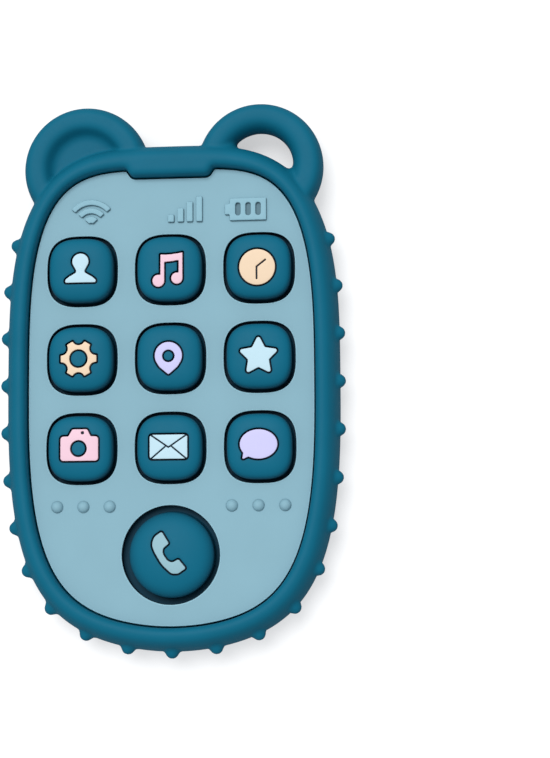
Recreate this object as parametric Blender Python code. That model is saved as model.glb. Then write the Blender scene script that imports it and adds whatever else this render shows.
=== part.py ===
"""Silicone toy phone with two ears and ten push keys, lying on its back.

+Z points out of the face with the keys, +Y towards the ears, +X to the right
as the face is read. The origin is on the back plane, in the middle of the
outline's box. Lengths below are in millimetres; points are scaled to metres
when a mesh is made. Angles are in degrees.
"""

import math

import bmesh
import bpy
from mathutils import Matrix, Vector

MM = 0.001

# ---- driving dimensions ----------------------------------------------------

GRID_Y = 5.12             # the middle key's centre above the origin
PITCH = 24.0              # square keys, centre to centre
CALL_Y = GRID_Y - 52.4    # call key's centre
CUT_OVER = 1.0            # how far a cutter passes the surface it opens
SLIVER = 0.002            # shorter edges are cleared away
SHARP_ANGLE = 40          # edges that turn further are shaded sharp

# Outlines of the body and the panel. The top and bottom halves each have a
# half height, a power of x and a power of y, and meet
# |x / half_width|^x_power + |(y - centre_y) / half_height|^y_power = 1.
# The bottom half is then drawn down in a swell of a depth and a spread.
OUTLINE_POINTS = 2880
BODY = dict(half_width=45.07, centre_y=GRID_Y - 3.67, top=(62.32, 3.3, 3.1),
            bottom=(66.68, 4.27, 3.06), swell=(7.66, 30.75))
PANEL = dict(half_width=38.58, centre_y=GRID_Y - 4.57, top=(55.9, 4.45, 3.02),
             bottom=(60.29, 4.51, 3.02), swell=(6.36, 26.98))

# Body heights, and the reach inwards of its roundings
BODY_TOP = 16.0
BODY_WIDEST = 7.0
RIM_ROUND = 4.8           # the crown's outer rounding
BACK_ROUND = 3.6          # the back edge's rounding
BACK_RISE = 5.2           # height of the back edge's rounding
RECESS_FLOOR = 9.7        # floor of the panel's recess

# Inner edge of the rim
RIM_LIP = 1.7             # radius of its rounding
LIP_TURN = 80             # angle the rounding turns through
LIP_FLARE = 1.35          # reach of the cutter above the rim, in lip radii

# Face panel, let into the body's front
PANEL_BACK = 10.0
PANEL_FACE = 12.5
PANEL_EDGE = 0.3          # softened edge
PANEL_GAP = 0.4           # all round

# The rim's tab into the panel's top edge
TAB_HALF = 12.1           # half width
TAB_FLAT = 8.6            # half width of its straight edge
TAB_Y = GRID_Y + 48.95    # its straight edge
TAB_BEND = 2.1            # radius of its corners
TAB_SHOULDER = (0.75, 1.35)   # in from the half width, up from the straight edge
TAB_SHARE = 0.5           # share of the outline's growth that narrows the tab

# Ears, right one (1) and left one (-1): centre x, centre y and radius
EAR = {1: (24.12, GRID_Y + 52.38, 17.1), -1: (-23.53, GRID_Y + 52.62, 17.15)}
EAR_HOLE = {1: (24.0, GRID_Y + 52.8, 9.05), -1: (-23.6, GRID_Y + 52.75, 9.3)}
EAR_LOW, EAR_HIGH = 2.4, 13.6
EAR_POWER = 0.8           # below 1 the ring's section is fuller than an ellipse

# Disc that closes the left ear's hole
DISH_LOW, DISH_HIGH = 5.0, 10.2
DISH_OVERLAP = 1.4        # reach into the ring

# Studs round the sides and bottom, in steps each way from the bottom's middle
BOTTOM_PITCH, BOTTOM_STEPS = 11.9, 5
SIDE_PITCH, SIDE_STEPS = 12.86, 6
STUD_R = 1.75
STUD_Z = 9.8

# Keys: half widths of rounded squares, or radii of the round call key.
#   power       superellipse power of every outline
#   hole        hole in the panel
#   stem, flange, hollow    the key's side, its foot and its inside
#   well, back  pocket in the body, and the opening through the back below it
#   crown       height of the key's top
#   round_in, round_down    reach of the crown's rounding
#   slope       rise of the top from its rounding to its middle
#   segments    points round each outline
SQUARE = dict(power=2.9, hole=9.65, stem=8.7, flange=10.4, hollow=6.8,
              well=10.9, back=8.8, crown=16.7, round_in=2.95, round_down=2.9,
              slope=0.12, segments=24)
ROUND = dict(power=2.0, hole=13.15, stem=11.3, flange=13.9, hollow=9.0,
             well=14.5, back=12.2, crown=17.2, round_in=5.4, round_down=3.4,
             slope=0.1, segments=28)
FLANGE_LOW, FLANGE_HIGH = 8.6, 9.7
ROOF_CUT = 2.4            # from the top of the rounding down to the hollow's roof
HOLLOW_CHAMFER = 0.6      # round the hollow's roof
CROWN_TURN = 88           # angle the crown's rounding turns through
CROWN_STEP = 0.05         # from the rounding's full reach in to the flat top

# Wells under the keys, and the webs in them
LEDGE = 4.4               # floor of the well, under the web
WELL_OVER = 1.5           # how far the well's cutter passes the recess's floor
WEB_GAP = 0.15            # from the ledge, and from the flange
WEB_LOW, WEB_HIGH = LEDGE + WEB_GAP, FLANGE_LOW - WEB_GAP
WEB_WALL = 0.9
WEB_FOOT_GAP = 0.3        # from the well's side in to the web's foot
WEB_HEAD_OUT = 0.35       # from the stem out to the web's head
WEB_FEWER = 8             # fewer points round the web than round the key

# Inlays
INLAY_DEPTH = 1.0
INLAY_GAP = 0.42          # all round
INLAY_UNDER = 0.15        # gap underneath
GROOVE_WIDTH = 0.45

# Each key's centre, shape and inlay material
KEYS = {
    "contact": ((-PITCH, GRID_Y + PITCH), SQUARE, "ice"),
    "music": ((0.0, GRID_Y + PITCH), SQUARE, "pink"),
    "clock": ((PITCH, GRID_Y + PITCH), SQUARE, "peach"),
    "settings": ((-PITCH, GRID_Y), SQUARE, "peach"),
    "place": ((0.0, GRID_Y), SQUARE, "lavender"),
    "star": ((PITCH, GRID_Y), SQUARE, "ice"),
    "camera": ((-PITCH, GRID_Y - PITCH), SQUARE, "pink"),
    "letter": ((0.0, GRID_Y - PITCH), SQUARE, "ice"),
    "speech": ((PITCH, GRID_Y - PITCH), SQUARE, "lavender"),
    "call": ((0.0, CALL_Y), ROUND, "frost"),
}

# Each material's linear red, green and blue, and its roughness
MATERIALS = {
    "teal": ((0.013, 0.140, 0.262), 0.5),
    "panel": ((0.262, 0.485, 0.577), 0.5),
    "ice": ((0.604, 0.791, 0.855), 0.55),
    "pink": ((0.913, 0.604, 0.651), 0.55),
    "peach": ((0.913, 0.680, 0.456), 0.55),
    "lavender": ((0.680, 0.597, 0.871), 0.55),
    "frost": ((0.445, 0.651, 0.723), 0.55),
}


# ---- scene helpers ---------------------------------------------------------

for old in list(bpy.data.objects):
    bpy.data.objects.remove(old, do_unlink=True)


def material(name):
    """The named material, made the first time it is asked for."""
    made = bpy.data.materials.get(name)
    if made is None:
        colour, roughness = MATERIALS[name]
        made = bpy.data.materials.new(name)
        made.use_nodes = True
        shader = made.node_tree.nodes["Principled BSDF"]
        shader.inputs["Base Color"].default_value = (*colour, 1.0)
        shader.inputs["Roughness"].default_value = roughness
        shader.inputs["Metallic"].default_value = 0.0
        made.diffuse_color = (*colour, 1.0)
    return made


def object_from(bm, name):
    bmesh.ops.recalc_face_normals(bm, faces=bm.faces)
    mesh = bpy.data.meshes.new(name)
    bm.to_mesh(mesh)
    bm.free()
    obj = bpy.data.objects.new(name, mesh)
    bpy.context.scene.collection.objects.link(obj)
    return obj


def prism(name, points, low, high):
    """A straight-sided block over a closed outline."""
    bm = bmesh.new()
    base = bm.faces.new([bm.verts.new((x * MM, y * MM, low * MM)) for x, y in points])
    top = bmesh.ops.extrude_face_region(bm, geom=[base])["geom"]
    moved = [item for item in top if isinstance(item, bmesh.types.BMVert)]
    bmesh.ops.translate(bm, verts=moved, vec=(0, 0, (high - low) * MM))
    return object_from(bm, name)


def loft(name, rings, loop=False):
    """Skin over rings of equal point count. The ends are filled, or the last
    ring is joined to the first when loop is set."""
    bm = bmesh.new()
    skins = [[bm.verts.new((x * MM, y * MM, z * MM)) for x, y, z in ring]
             for ring in rings]
    count = len(skins[0])
    pairs = list(zip(skins, skins[1:]))
    if loop:
        pairs.append((skins[-1], skins[0]))
    for lower, upper in pairs:
        for i in range(count):
            j = (i + 1) % count
            bm.faces.new((lower[i], lower[j], upper[j], upper[i]))
    if not loop:
        bm.faces.new(skins[0])
        bm.faces.new(skins[-1])
    return object_from(bm, name)


def ball(name, centre, radius):
    bm = bmesh.new()
    bmesh.ops.create_uvsphere(
        bm, u_segments=8, v_segments=6, radius=radius * MM,
        matrix=Matrix.Translation(Vector(centre) * MM))
    return object_from(bm, name)


def boolean(target, tool, operation):
    """Joins the tool to the target, or cuts it away, and removes the tool."""
    tool.hide_render = True
    modifier = target.modifiers.new(operation.title(), "BOOLEAN")
    modifier.operation = operation
    modifier.solver = "EXACT"
    modifier.object = tool
    graph = bpy.context.evaluated_depsgraph_get()
    mesh = bpy.data.meshes.new_from_object(target.evaluated_get(graph))
    mesh.name = target.name
    target.modifiers.clear()
    spent = target.data
    target.data = mesh
    bpy.data.meshes.remove(spent)
    spent = tool.data
    bpy.data.objects.remove(tool, do_unlink=True)
    bpy.data.meshes.remove(spent)


def finish(obj, material_name, origin=(0.0, 0.0, 0.0), parent=None):
    """Clears slivers, moves the origin, shades smooth and adds the material."""
    bm = bmesh.new()
    bm.from_mesh(obj.data)
    bmesh.ops.remove_doubles(bm, verts=bm.verts, dist=SLIVER * MM)
    bmesh.ops.dissolve_degenerate(bm, edges=bm.edges, dist=SLIVER * MM)
    bmesh.ops.translate(bm, verts=bm.verts, vec=-Vector(origin) * MM)
    bm.to_mesh(obj.data)
    bm.free()
    obj.location = Vector(origin) * MM
    if parent is not None:
        obj.parent = parent
        obj.matrix_parent_inverse = Matrix.Translation(-parent.location)
    obj.data.materials.clear()
    obj.data.materials.append(material(material_name))
    obj.data.shade_smooth()
    obj.data.set_sharp_from_angle(angle=math.radians(SHARP_ANGLE))


# ---- outlines, all closed and anticlockwise ----------------------------------

def signed_power(value, power):
    return math.copysign(abs(value) ** power, value)


def superellipse(half_width, top, bottom, count):
    """Points from the bottom round. Top and bottom are the halves above and
    below y = 0: a half height, a power of x and a power of y."""
    points = []
    for i in range(count):
        angle = -math.pi / 2 + 2 * math.pi * i / count
        across, up = math.cos(angle), math.sin(angle)
        half_height, x_power, y_power = top if up >= 0 else bottom
        points.append((half_width * signed_power(across, 2 / x_power),
                       half_height * signed_power(up, 2 / y_power)))
    return points


def path_length(path):
    return sum(math.dist(start, end) for start, end in zip(path, path[1:]))


def along(path, distances):
    """Points of an open path at rising distances from its start."""
    lengths = [math.dist(start, end) for start, end in zip(path, path[1:])]
    found, at, passed = [], 0, 0.0
    for distance in distances:
        while at < len(lengths) - 1 and passed + lengths[at] < distance - 1e-9:
            passed += lengths[at]
            at += 1
        share = (distance - passed) / lengths[at] if lengths[at] else 0.0
        (start_x, start_y), (end_x, end_y) = path[at], path[at + 1]
        found.append((start_x + (end_x - start_x) * share,
                      start_y + (end_y - start_y) * share))
    return found


def resample(points, count):
    """The closed outline again, at equal steps along its length."""
    path = points + points[:1]
    step = path_length(path) / count
    return along(path, [k * step for k in range(count)])


def swelled_outline(spec, grow=0.0):
    """Dense outline of the body or the panel, from its bottom."""
    top_height, *top_powers = spec["top"]
    bottom_height, *bottom_powers = spec["bottom"]
    bottom_height += grow
    dense = superellipse(spec["half_width"] + grow, (top_height + grow, *top_powers),
                         (bottom_height, *bottom_powers), OUTLINE_POINTS)
    depth, spread = spec["swell"]
    fade = bottom_powers[1] / 2
    found = []
    for x, y in dense:
        if y < 0:
            y -= depth * math.exp(-(x / spread) ** 2) * (-y / bottom_height) ** fade
        found.append((x, y + spec["centre_y"]))
    return found


def inset(dense, distance):
    """Moves a dense outline inwards along its own normal."""
    count = len(dense)
    reach = 4    # points each way that the normal is taken over
    moved = []
    for i, (x, y) in enumerate(dense):
        before_x, before_y = dense[i - reach]
        after_x, after_y = dense[(i + reach) % count]
        run_x, run_y = after_x - before_x, after_y - before_y
        length = math.hypot(run_x, run_y)
        moved.append((x - run_y / length * distance, y + run_x / length * distance))
    return moved


def rounded_square(half, power, count, centre):
    side = (half, power, power)
    dense = superellipse(half, side, side, 720)
    return [(x + centre[0], y + centre[1]) for x, y in resample(dense, count)]


def polar(centre, radius, degrees):
    angle = math.radians(degrees)
    return (centre[0] + radius * math.cos(angle), centre[1] + radius * math.sin(angle))


def arc(centre, radius, start, end, steps):
    return [polar(centre, radius, start + (end - start) * i / steps)
            for i in range(steps + 1)]


def circle(centre, radius, count):
    return arc(centre, radius, 0, 360, count)[:-1]


def rectangle(left, low, right, high):
    return [(left, low), (right, low), (right, high), (left, high)]


def offset(corners, grow):
    """Moves every side outwards, keeping corners."""
    count = len(corners)
    moved = []
    for i, (x, y) in enumerate(corners):
        last_x, last_y = corners[i - 1]
        next_x, next_y = corners[(i + 1) % count]
        in_length = math.hypot(x - last_x, y - last_y)
        out_length = math.hypot(next_x - x, next_y - y)
        # Outward normals of the sides before and after the corner
        in_nx, in_ny = (y - last_y) / in_length, -(x - last_x) / in_length
        out_nx, out_ny = (next_y - y) / out_length, -(next_x - x) / out_length
        share = grow / (1 + in_nx * out_nx + in_ny * out_ny)
        moved.append((x + (in_nx + out_nx) * share, y + (in_ny + out_ny) * share))
    return moved


def soften(corners, radii, steps):
    """Rounds each corner to its own radius; 0 leaves it, as does a side that
    is almost straight there."""
    count = len(corners)
    found = []
    for i, (x, y) in enumerate(corners):
        radius = radii[i]
        last_x, last_y = corners[i - 1]
        next_x, next_y = corners[(i + 1) % count]
        last_length = math.hypot(last_x - x, last_y - y)
        next_length = math.hypot(next_x - x, next_y - y)
        # Directions from the corner back and on along its two sides
        back_x, back_y = (last_x - x) / last_length, (last_y - y) / last_length
        on_x, on_y = (next_x - x) / next_length, (next_y - y) / next_length
        inside = math.acos(max(-1.0, min(1.0, back_x * on_x + back_y * on_y)))
        if radius <= 0 or inside > math.radians(172):
            found.append((x, y))
            continue
        # The rounding takes no more than 0.45 of either side
        cut = min(radius / math.tan(inside / 2), 0.45 * last_length, 0.45 * next_length)
        radius = cut * math.tan(inside / 2)
        bisector = Vector((back_x + on_x, back_y + on_y)).normalized()
        middle = bisector * (radius / math.sin(inside / 2))
        centre_x, centre_y = x + middle.x, y + middle.y
        start = math.atan2(y + back_y * cut - centre_y, x + back_x * cut - centre_x)
        sweep = math.atan2(y + on_y * cut - centre_y, x + on_x * cut - centre_x) - start
        sweep = (sweep + math.pi) % (2 * math.pi) - math.pi
        found += [(centre_x + radius * math.cos(start + sweep * k / steps),
                   centre_y + radius * math.sin(start + sweep * k / steps))
                  for k in range(steps + 1)]
    return found


def panel_outline(grow=0.0):
    """The panel's edge, with the notch that takes the rim's tab."""
    dense = swelled_outline(PANEL, grow)
    narrowing = grow * TAB_SHARE
    half = [point for point in dense[:OUTLINE_POINTS // 2 + 1] if point[0] >= 0]
    side = [(x, y) for x, y in half if y < GRID_Y or x > TAB_HALF - narrowing]
    length, count = path_length(side), 25
    right = along(side, [length * k / count for k in range(count + 1)])
    edge_y = TAB_Y + grow
    shoulder_in, shoulder_up = TAB_SHOULDER
    right.append((TAB_HALF - shoulder_in - narrowing, edge_y + shoulder_up))
    for degrees in (62, 40, 20, 0):
        angle = math.radians(degrees)
        right.append((TAB_FLAT + TAB_BEND * math.sin(angle) - narrowing,
                      edge_y + TAB_BEND * (1 - math.cos(angle))))
    left = [(-x, y) for x, y in reversed(right)]
    return right + left[:-1]


def at_height(points, z):
    return [(x, y, z) for x, y in points]


def key_loft(name, spec, rings, centre=(0.0, 0.0), fewer=0, loop=False):
    """Loft through a key's outline at each half width and height in rings."""
    count = spec["segments"] - fewer
    return loft(name, [
        at_height(rounded_square(half, spec["power"], count, centre), z)
        for half, z in rings], loop)


# ---- body ------------------------------------------------------------------

def body_blank():
    """The main block: a rounded back edge and a rounded crown."""
    dense = swelled_outline(BODY)
    profile = []    # distance in from the outline, and height
    for k in range(4):
        angle = math.radians(90 * k / 3)
        profile.append((BACK_ROUND * (1 - math.sin(angle)),
                        BACK_RISE * (1 - math.cos(angle))))
    profile.append((0.0, BODY_WIDEST))
    for k in range(1, 5):
        angle = math.radians(90 * k / 4)
        profile.append((RIM_ROUND * (1 - math.cos(angle)),
                        BODY_WIDEST + (BODY_TOP - BODY_WIDEST) * math.sin(angle)))
    return loft("body_moulding", [
        at_height(resample(inset(dense, reach), 64), z) for reach, z in profile])


def ear_ring(side):
    """A soft rounded ring. The inner edge is off centre, so that it is
    wider towards the body."""
    count, around = 32, 8
    outer_x, outer_y, outer_radius = EAR[side]
    inner_x, inner_y, inner_radius = EAR_HOLE[side]
    middle_z, half_z = (EAR_LOW + EAR_HIGH) / 2, (EAR_HIGH - EAR_LOW) / 2
    rings = []
    for i in range(count):
        turn = 2 * math.pi * i / count
        far_x = outer_x + outer_radius * math.cos(turn)
        far_y = outer_y + outer_radius * math.sin(turn)
        near_x = inner_x + inner_radius * math.cos(turn)
        near_y = inner_y + inner_radius * math.sin(turn)
        ring = []
        for k in range(around):
            angle = 2 * math.pi * (k + 0.5) / around
            across = 0.5 + 0.5 * signed_power(math.cos(angle), EAR_POWER)
            rise = signed_power(math.sin(angle), EAR_POWER)
            ring.append((near_x + (far_x - near_x) * across,
                         near_y + (far_y - near_y) * across,
                         middle_z + half_z * rise))
        rings.append(ring)
    return loft("ear_ring", rings, loop=True)


def left_dish():
    x, y, radius = EAR_HOLE[-1]
    return prism("dish", circle((x, y), radius + DISH_OVERLAP, 24), DISH_LOW, DISH_HIGH)


def stud_places():
    """Even steps along the outline, out from the middle of the bottom."""
    dense = swelled_outline(BODY)
    goals = [BOTTOM_PITCH * k for k in range(BOTTOM_STEPS + 1)]
    goals += [goals[-1] + SIDE_PITCH * k for k in range(1, SIDE_STEPS + 1)]
    places = []
    # The middle stud belongs to the right-hand track only
    for track, waiting in ((dense, goals[:]), (dense[:1] + dense[:0:-1], goals[1:])):
        passed = 0.0
        for start, end in zip(track, track[1:]):
            passed += math.dist(start, end)
            if waiting and waiting[0] < passed:
                places.append(start)
                waiting.pop(0)
    return places


def panel_recess():
    """Cutter for the panel's recess, with the rounding of the rim's inner edge."""
    lip_start = BODY_TOP - RIM_LIP
    profile = [(PANEL_GAP, RECESS_FLOOR)]
    for k in range(3):
        angle = math.radians(LIP_TURN * k / 2)
        profile.append((PANEL_GAP + RIM_LIP * (1 - math.cos(angle)),
                        lip_start + RIM_LIP * math.sin(angle)))
    profile.append((PANEL_GAP + RIM_LIP * LIP_FLARE, BODY_TOP + CUT_OVER))
    return loft("recess", [at_height(panel_outline(grow), z) for grow, z in profile])


def make_body():
    body = body_blank()
    for side in (1, -1):
        boolean(body, ear_ring(side), "UNION")
    boolean(body, left_dish(), "UNION")
    for x, y in stud_places():
        boolean(body, ball("stud", (x, y, STUD_Z), STUD_R), "UNION")
    boolean(body, panel_recess(), "DIFFERENCE")
    for centre, spec, _ in KEYS.values():
        rings = [(spec["back"], -CUT_OVER), (spec["back"], LEDGE),
                 (spec["well"], LEDGE), (spec["well"], RECESS_FLOOR + WELL_OVER)]
        boolean(body, key_loft("well", spec, rings, centre), "DIFFERENCE")
    finish(body, "teal")


# ---- face panel ------------------------------------------------------------

# Raised marks along the panel's top
MARK_SINK = 0.6           # into the panel
MARK_LOW, MARK_HIGH = PANEL_FACE - MARK_SINK, PANEL_FACE + 0.6
MARK_Y = GRID_Y + 36.9    # lower edge of the bars and the battery
ARC_CENTRE = (-21.6, MARK_Y - 0.4)
# Outer radius, inner radius, and spread each way from upright
ARCS = ((7.0, 5.6, 50), (4.7, 3.3, 49), (2.4, 0.7, 47))
BAR_HALF = 0.83
BARS = ((0.25, 2.0), (2.85, 3.7), (5.35, 5.4), (7.95, 6.8))    # middle x, height
BATTERY_LEFT, BATTERY_RIGHT = 16.2, 26.1
BATTERY_HEIGHT, BATTERY_ROUND = 6.05, 0.6
NUB_OUT, NUB_OVERLAP = 1.3, 0.3
NUB_LOW, NUB_HIGH = 1.65, 4.5      # above the battery's lower edge
SLOTS = (18.45, 21.2, 23.9)        # middle x of each
SLOT_HALF, SLOT_ROUND = 0.7, 0.5
SLOT_LOW, SLOT_HIGH = 1.35, 4.85   # above the battery's lower edge
MARK_OFFSET = 0.02        # keeps faces of the joined shapes out of one plane

# Rows of dots on both sides, below the square keys
DOTS_X = (16.4, 23.5, 30.6)
DOTS_Y = GRID_Y - 39.5
DOT_R = 1.65
DOT_SINK = 0.35           # the dot's middle below the panel's face


def battery_mark():
    """Battery with its nub on the left and three slots."""
    shape = rectangle(BATTERY_LEFT, MARK_Y, BATTERY_RIGHT, MARK_Y + BATTERY_HEIGHT)
    battery = prism("battery", soften(shape, [BATTERY_ROUND] * 4, 1), MARK_LOW, MARK_HIGH)
    nub = rectangle(BATTERY_LEFT - NUB_OUT, MARK_Y + NUB_LOW,
                    BATTERY_LEFT + NUB_OVERLAP, MARK_Y + NUB_HIGH)
    boolean(battery, prism("nub", nub, MARK_LOW, MARK_HIGH - MARK_OFFSET), "UNION")
    for x in SLOTS:
        slot = soften(rectangle(x - SLOT_HALF, MARK_Y + SLOT_LOW,
                                x + SLOT_HALF, MARK_Y + SLOT_HIGH), [SLOT_ROUND] * 4, 1)
        cutter = prism("slot", slot, PANEL_FACE + MARK_OFFSET, MARK_HIGH + CUT_OVER)
        boolean(battery, cutter, "DIFFERENCE")
    return battery


def signal_marks():
    """Arcs, four bars and a battery."""
    marks = []
    for outer, inner, spread in ARCS:
        band = arc(ARC_CENTRE, outer, 90 - spread, 90 + spread, 6)
        band += arc(ARC_CENTRE, inner, 90 + spread, 90 - spread, 6)
        marks.append(prism("arc", band, MARK_LOW, MARK_HIGH))
    for x, height in BARS:
        bar = rectangle(x - BAR_HALF, MARK_Y, x + BAR_HALF, MARK_Y + height)
        marks.append(prism("bar", bar, MARK_LOW, MARK_HIGH))
    marks.append(battery_mark())
    return marks


def make_panel():
    edge_z = PANEL_FACE - PANEL_EDGE
    profile = [(0.0, PANEL_BACK), (0.0, edge_z), (-PANEL_EDGE, PANEL_FACE)]
    panel = loft("face_panel", [at_height(panel_outline(grow), z) for grow, z in profile])
    for centre, spec, _ in KEYS.values():
        hole = spec["hole"]
        rings = [(hole, PANEL_BACK - CUT_OVER), (hole, edge_z),
                 (hole + PANEL_EDGE, PANEL_FACE), (hole + PANEL_EDGE, PANEL_FACE + CUT_OVER)]
        boolean(panel, key_loft("hole", spec, rings, centre), "DIFFERENCE")
    for mark in signal_marks():
        boolean(panel, mark, "UNION")
    for side in (1, -1):
        for x in DOTS_X:
            dot = ball("dot", (side * x, DOTS_Y, PANEL_FACE - DOT_SINK), DOT_R)
            boolean(panel, dot, "UNION")
    finish(panel, "panel")


# ---- inlay outlines, each about its key's centre ----------------------------
# Each function gives a list of outlines that are set outwards by grow.

def rounded(corners, radii, grow):
    """An outline set outwards and rounded: a radius below 0 is a hollow corner."""
    radii = [abs(radius + grow) if radius else 0.0 for radius in radii]
    return soften(offset(corners, grow), radii, 2)


def outline_contact(grow):
    """Head and shoulders."""
    right = [(4.15, -3.55), (4.15, -2.8), (3.1, -1.98), (0.9, -0.72)]
    radii = [0.35, 0.7, 0.0, -0.6]
    head = arc((0.0, 2.1), 2.2, -16, 196, 12)
    left = [(-x, y) for x, y in reversed(right)]
    points = [(x + 0.22, y) for x, y in right + head + left]
    return [rounded(points, radii + [0.0] * len(head) + radii[::-1], grow)]


def outline_music(grow):
    """Two notes under one beam: two heads, then the stems and beam in one."""
    frame = [(-2.05, -3.5), (-1.05, -3.5), (-1.05, 1.5), (0.9, 1.65), (2.85, 1.95),
             (2.85, -2.9), (3.85, -2.9), (3.85, 4.0), (0.9, 3.6), (-2.05, 3.5)]
    shapes = (circle((-2.65, -3.55), 1.6, 12), circle((2.35, -2.95), 1.5, 12), frame)
    return [offset(shape, grow) for shape in shapes]


def outline_clock(grow):
    return [circle((-0.12, -0.4), 4.78 + grow, 22)]


GEAR_CENTRE = (-0.2, -0.1)
# One tooth and the gap after it: angle from the tooth's middle, and radius
GEAR_TOOTH = ((-11, 5.05), (11, 5.05), (19, 4.0), (30, 3.42), (41, 4.0))


def outline_settings(grow):
    """Gear: six teeth with hollow flanks between them."""
    points = [polar(GEAR_CENTRE, radius, 60 * tooth + angle)
              for tooth in range(6) for angle, radius in GEAR_TOOTH]
    return [offset(points, grow)]


def outline_place(grow):
    """Map pin: a round head running down to a point."""
    head = arc((0.05, 0.3), 3.65, -28, 208, 14)
    point = [(-2.15, -2.45), (0.05, -4.75), (2.25, -2.45)]
    return [rounded(head + point, [0.0] * len(head) + [0.0, 0.35, 0.0], grow)]


def outline_star(grow):
    """Five points, with softened tips."""
    points = [polar((0.12, -0.27), 2.83 if k % 2 else 5.85, 90 + 36 * k)
              for k in range(10)]
    return [rounded(points, [0.45, 0.0] * 5, grow)]


def outline_camera(grow):
    points = [(-5.0, -3.4), (5.2, -3.4), (5.2, 3.1), (3.2, 3.1), (2.3, 5.1),
              (-2.0, 5.1), (-2.95, 3.1), (-5.0, 3.1)]
    return [rounded(points, [0.8, 0.8, 0.8, 0.0, 0.6, 0.6, 0.0, 0.8], grow)]


def outline_letter(grow):
    return [rounded(rectangle(-5.05, -3.4, 5.15, 3.5), [0.7] * 4, grow)]


def outline_speech(grow):
    """Oval with a short tail at the lower left."""
    oval = []
    for k in range(23):
        angle = math.radians(-128 + 334 * k / 22)
        oval.append((5.15 * math.cos(angle), 0.45 + 4.05 * math.sin(angle)))
    return [rounded(oval + [(-4.7, -3.6)], [0.0] * len(oval) + [0.25], grow)]


# Corners down the outer side and back up the hollow side: x, y and radius
HANDSET = (
    (-4.1, 4.75, 0.0), (-4.8, 2.8, 0.0), (-4.15, 0.9, 0.0), (-2.1, -2.55, 0.0),
    (0.5, -5.0, 1.2), (2.2, -4.95, 1.2),
    (4.25, -3.55, 0.35), (2.35, -1.2, 0.4), (0.85, -2.0, -0.9), (-0.45, -1.75, 0.0),
    (-1.85, 0.25, -1.0), (-1.8, 1.65, -0.8), (-0.2, 2.95, 0.35), (-2.2, 6.1, 0.45),
)


def outline_call(grow):
    """Handset, leaning, with its hollow side towards the upper right."""
    points = [(x, y) for x, y, _ in HANDSET]
    return [rounded(points, [radius for _, _, radius in HANDSET], grow)]


OUTLINES = {
    "contact": outline_contact, "music": outline_music, "clock": outline_clock,
    "settings": outline_settings, "place": outline_place, "star": outline_star,
    "camera": outline_camera, "letter": outline_letter,
    "speech": outline_speech, "call": outline_call,
}
# Round windows in an inlay, with the key's own material standing inside them:
# centre and radius
WINDOWS = {"settings": (GEAR_CENTRE, 2.35), "place": ((0.05, 0.2), 1.6),
           "camera": ((-0.1, -0.15), 2.25)}
# Straight grooves in an inlay's top: start, end and depth
GROOVES = {
    "clock": (((-0.25, -0.25), (-0.25, -3.7), 0.5),
              ((-0.35, -0.35), (2.25, 1.62), 0.46)),
    "letter": (((-4.55, 3.15), (0.12, -0.1), 0.5), ((4.65, 3.15), (-0.02, -0.1), 0.46),
               ((-4.4, -2.95), (-0.75, 0.15), 0.42), ((4.5, -2.95), (0.85, 0.15), 0.42)),
}
# Round pit in the camera inlay's top: centre, radius and depth
CAMERA_PIT = ((0.95, 4.1), 0.35, 0.5)


def groove(start, end, depth, top):
    """Cutter for a narrow slot from start to end, open at the top."""
    (start_x, start_y), (end_x, end_y) = start, end
    length = math.hypot(end_x - start_x, end_y - start_y)
    side_x = -(end_y - start_y) / length * GROOVE_WIDTH / 2
    side_y = (end_x - start_x) / length * GROOVE_WIDTH / 2
    corners = [(start_x + side_x, start_y + side_y), (start_x - side_x, start_y - side_y),
               (end_x - side_x, end_y - side_y), (end_x + side_x, end_y + side_y)]
    return prism("groove", corners, top - depth, top + CUT_OVER)


def inlay_cutters(name, top):
    """Cutters for the details in an inlay's top."""
    cutters = [groove(*line, top) for line in GROOVES.get(name, ())]
    if name == "camera":
        centre, radius, depth = CAMERA_PIT
        cutters.append(prism("dot", circle(centre, radius, 8), top - depth, top + CUT_OVER))
    return cutters


def inlay_block(name, grow, low, high):
    block, *others = [prism("inlay", points, low, high) for points in OUTLINES[name](grow)]
    for other in others:
        boolean(block, other, "UNION")
    if name in WINDOWS:
        centre, radius = WINDOWS[name]
        window = prism("window", circle(centre, radius - grow, 14),
                       low - CUT_OVER, high + CUT_OVER)
        boolean(block, window, "DIFFERENCE")
    return block


# ---- keys, inlays and webs ---------------------------------------------------

def key_profile(spec):
    """Half width and height, from the edge of the hollow's roof, down the
    hollow, round the flange, up the stem and over the crown."""
    crown, stem, hollow = spec["crown"], spec["stem"], spec["hollow"]
    roof = crown - ROOF_CUT - spec["slope"]
    shoulder = crown - spec["slope"] - spec["round_down"]
    rings = [(hollow - HOLLOW_CHAMFER, roof), (hollow, roof - HOLLOW_CHAMFER),
             (hollow, FLANGE_LOW), (spec["flange"], FLANGE_LOW),
             (spec["flange"], FLANGE_HIGH), (stem, FLANGE_HIGH)]
    for k in range(4):
        angle = math.radians(CROWN_TURN * k / 3)
        rings.append((stem - spec["round_in"] * (1 - math.cos(angle)),
                      shoulder + spec["round_down"] * math.sin(angle)))
    rings.append((stem - spec["round_in"] - CROWN_STEP, crown))
    return rings


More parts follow.
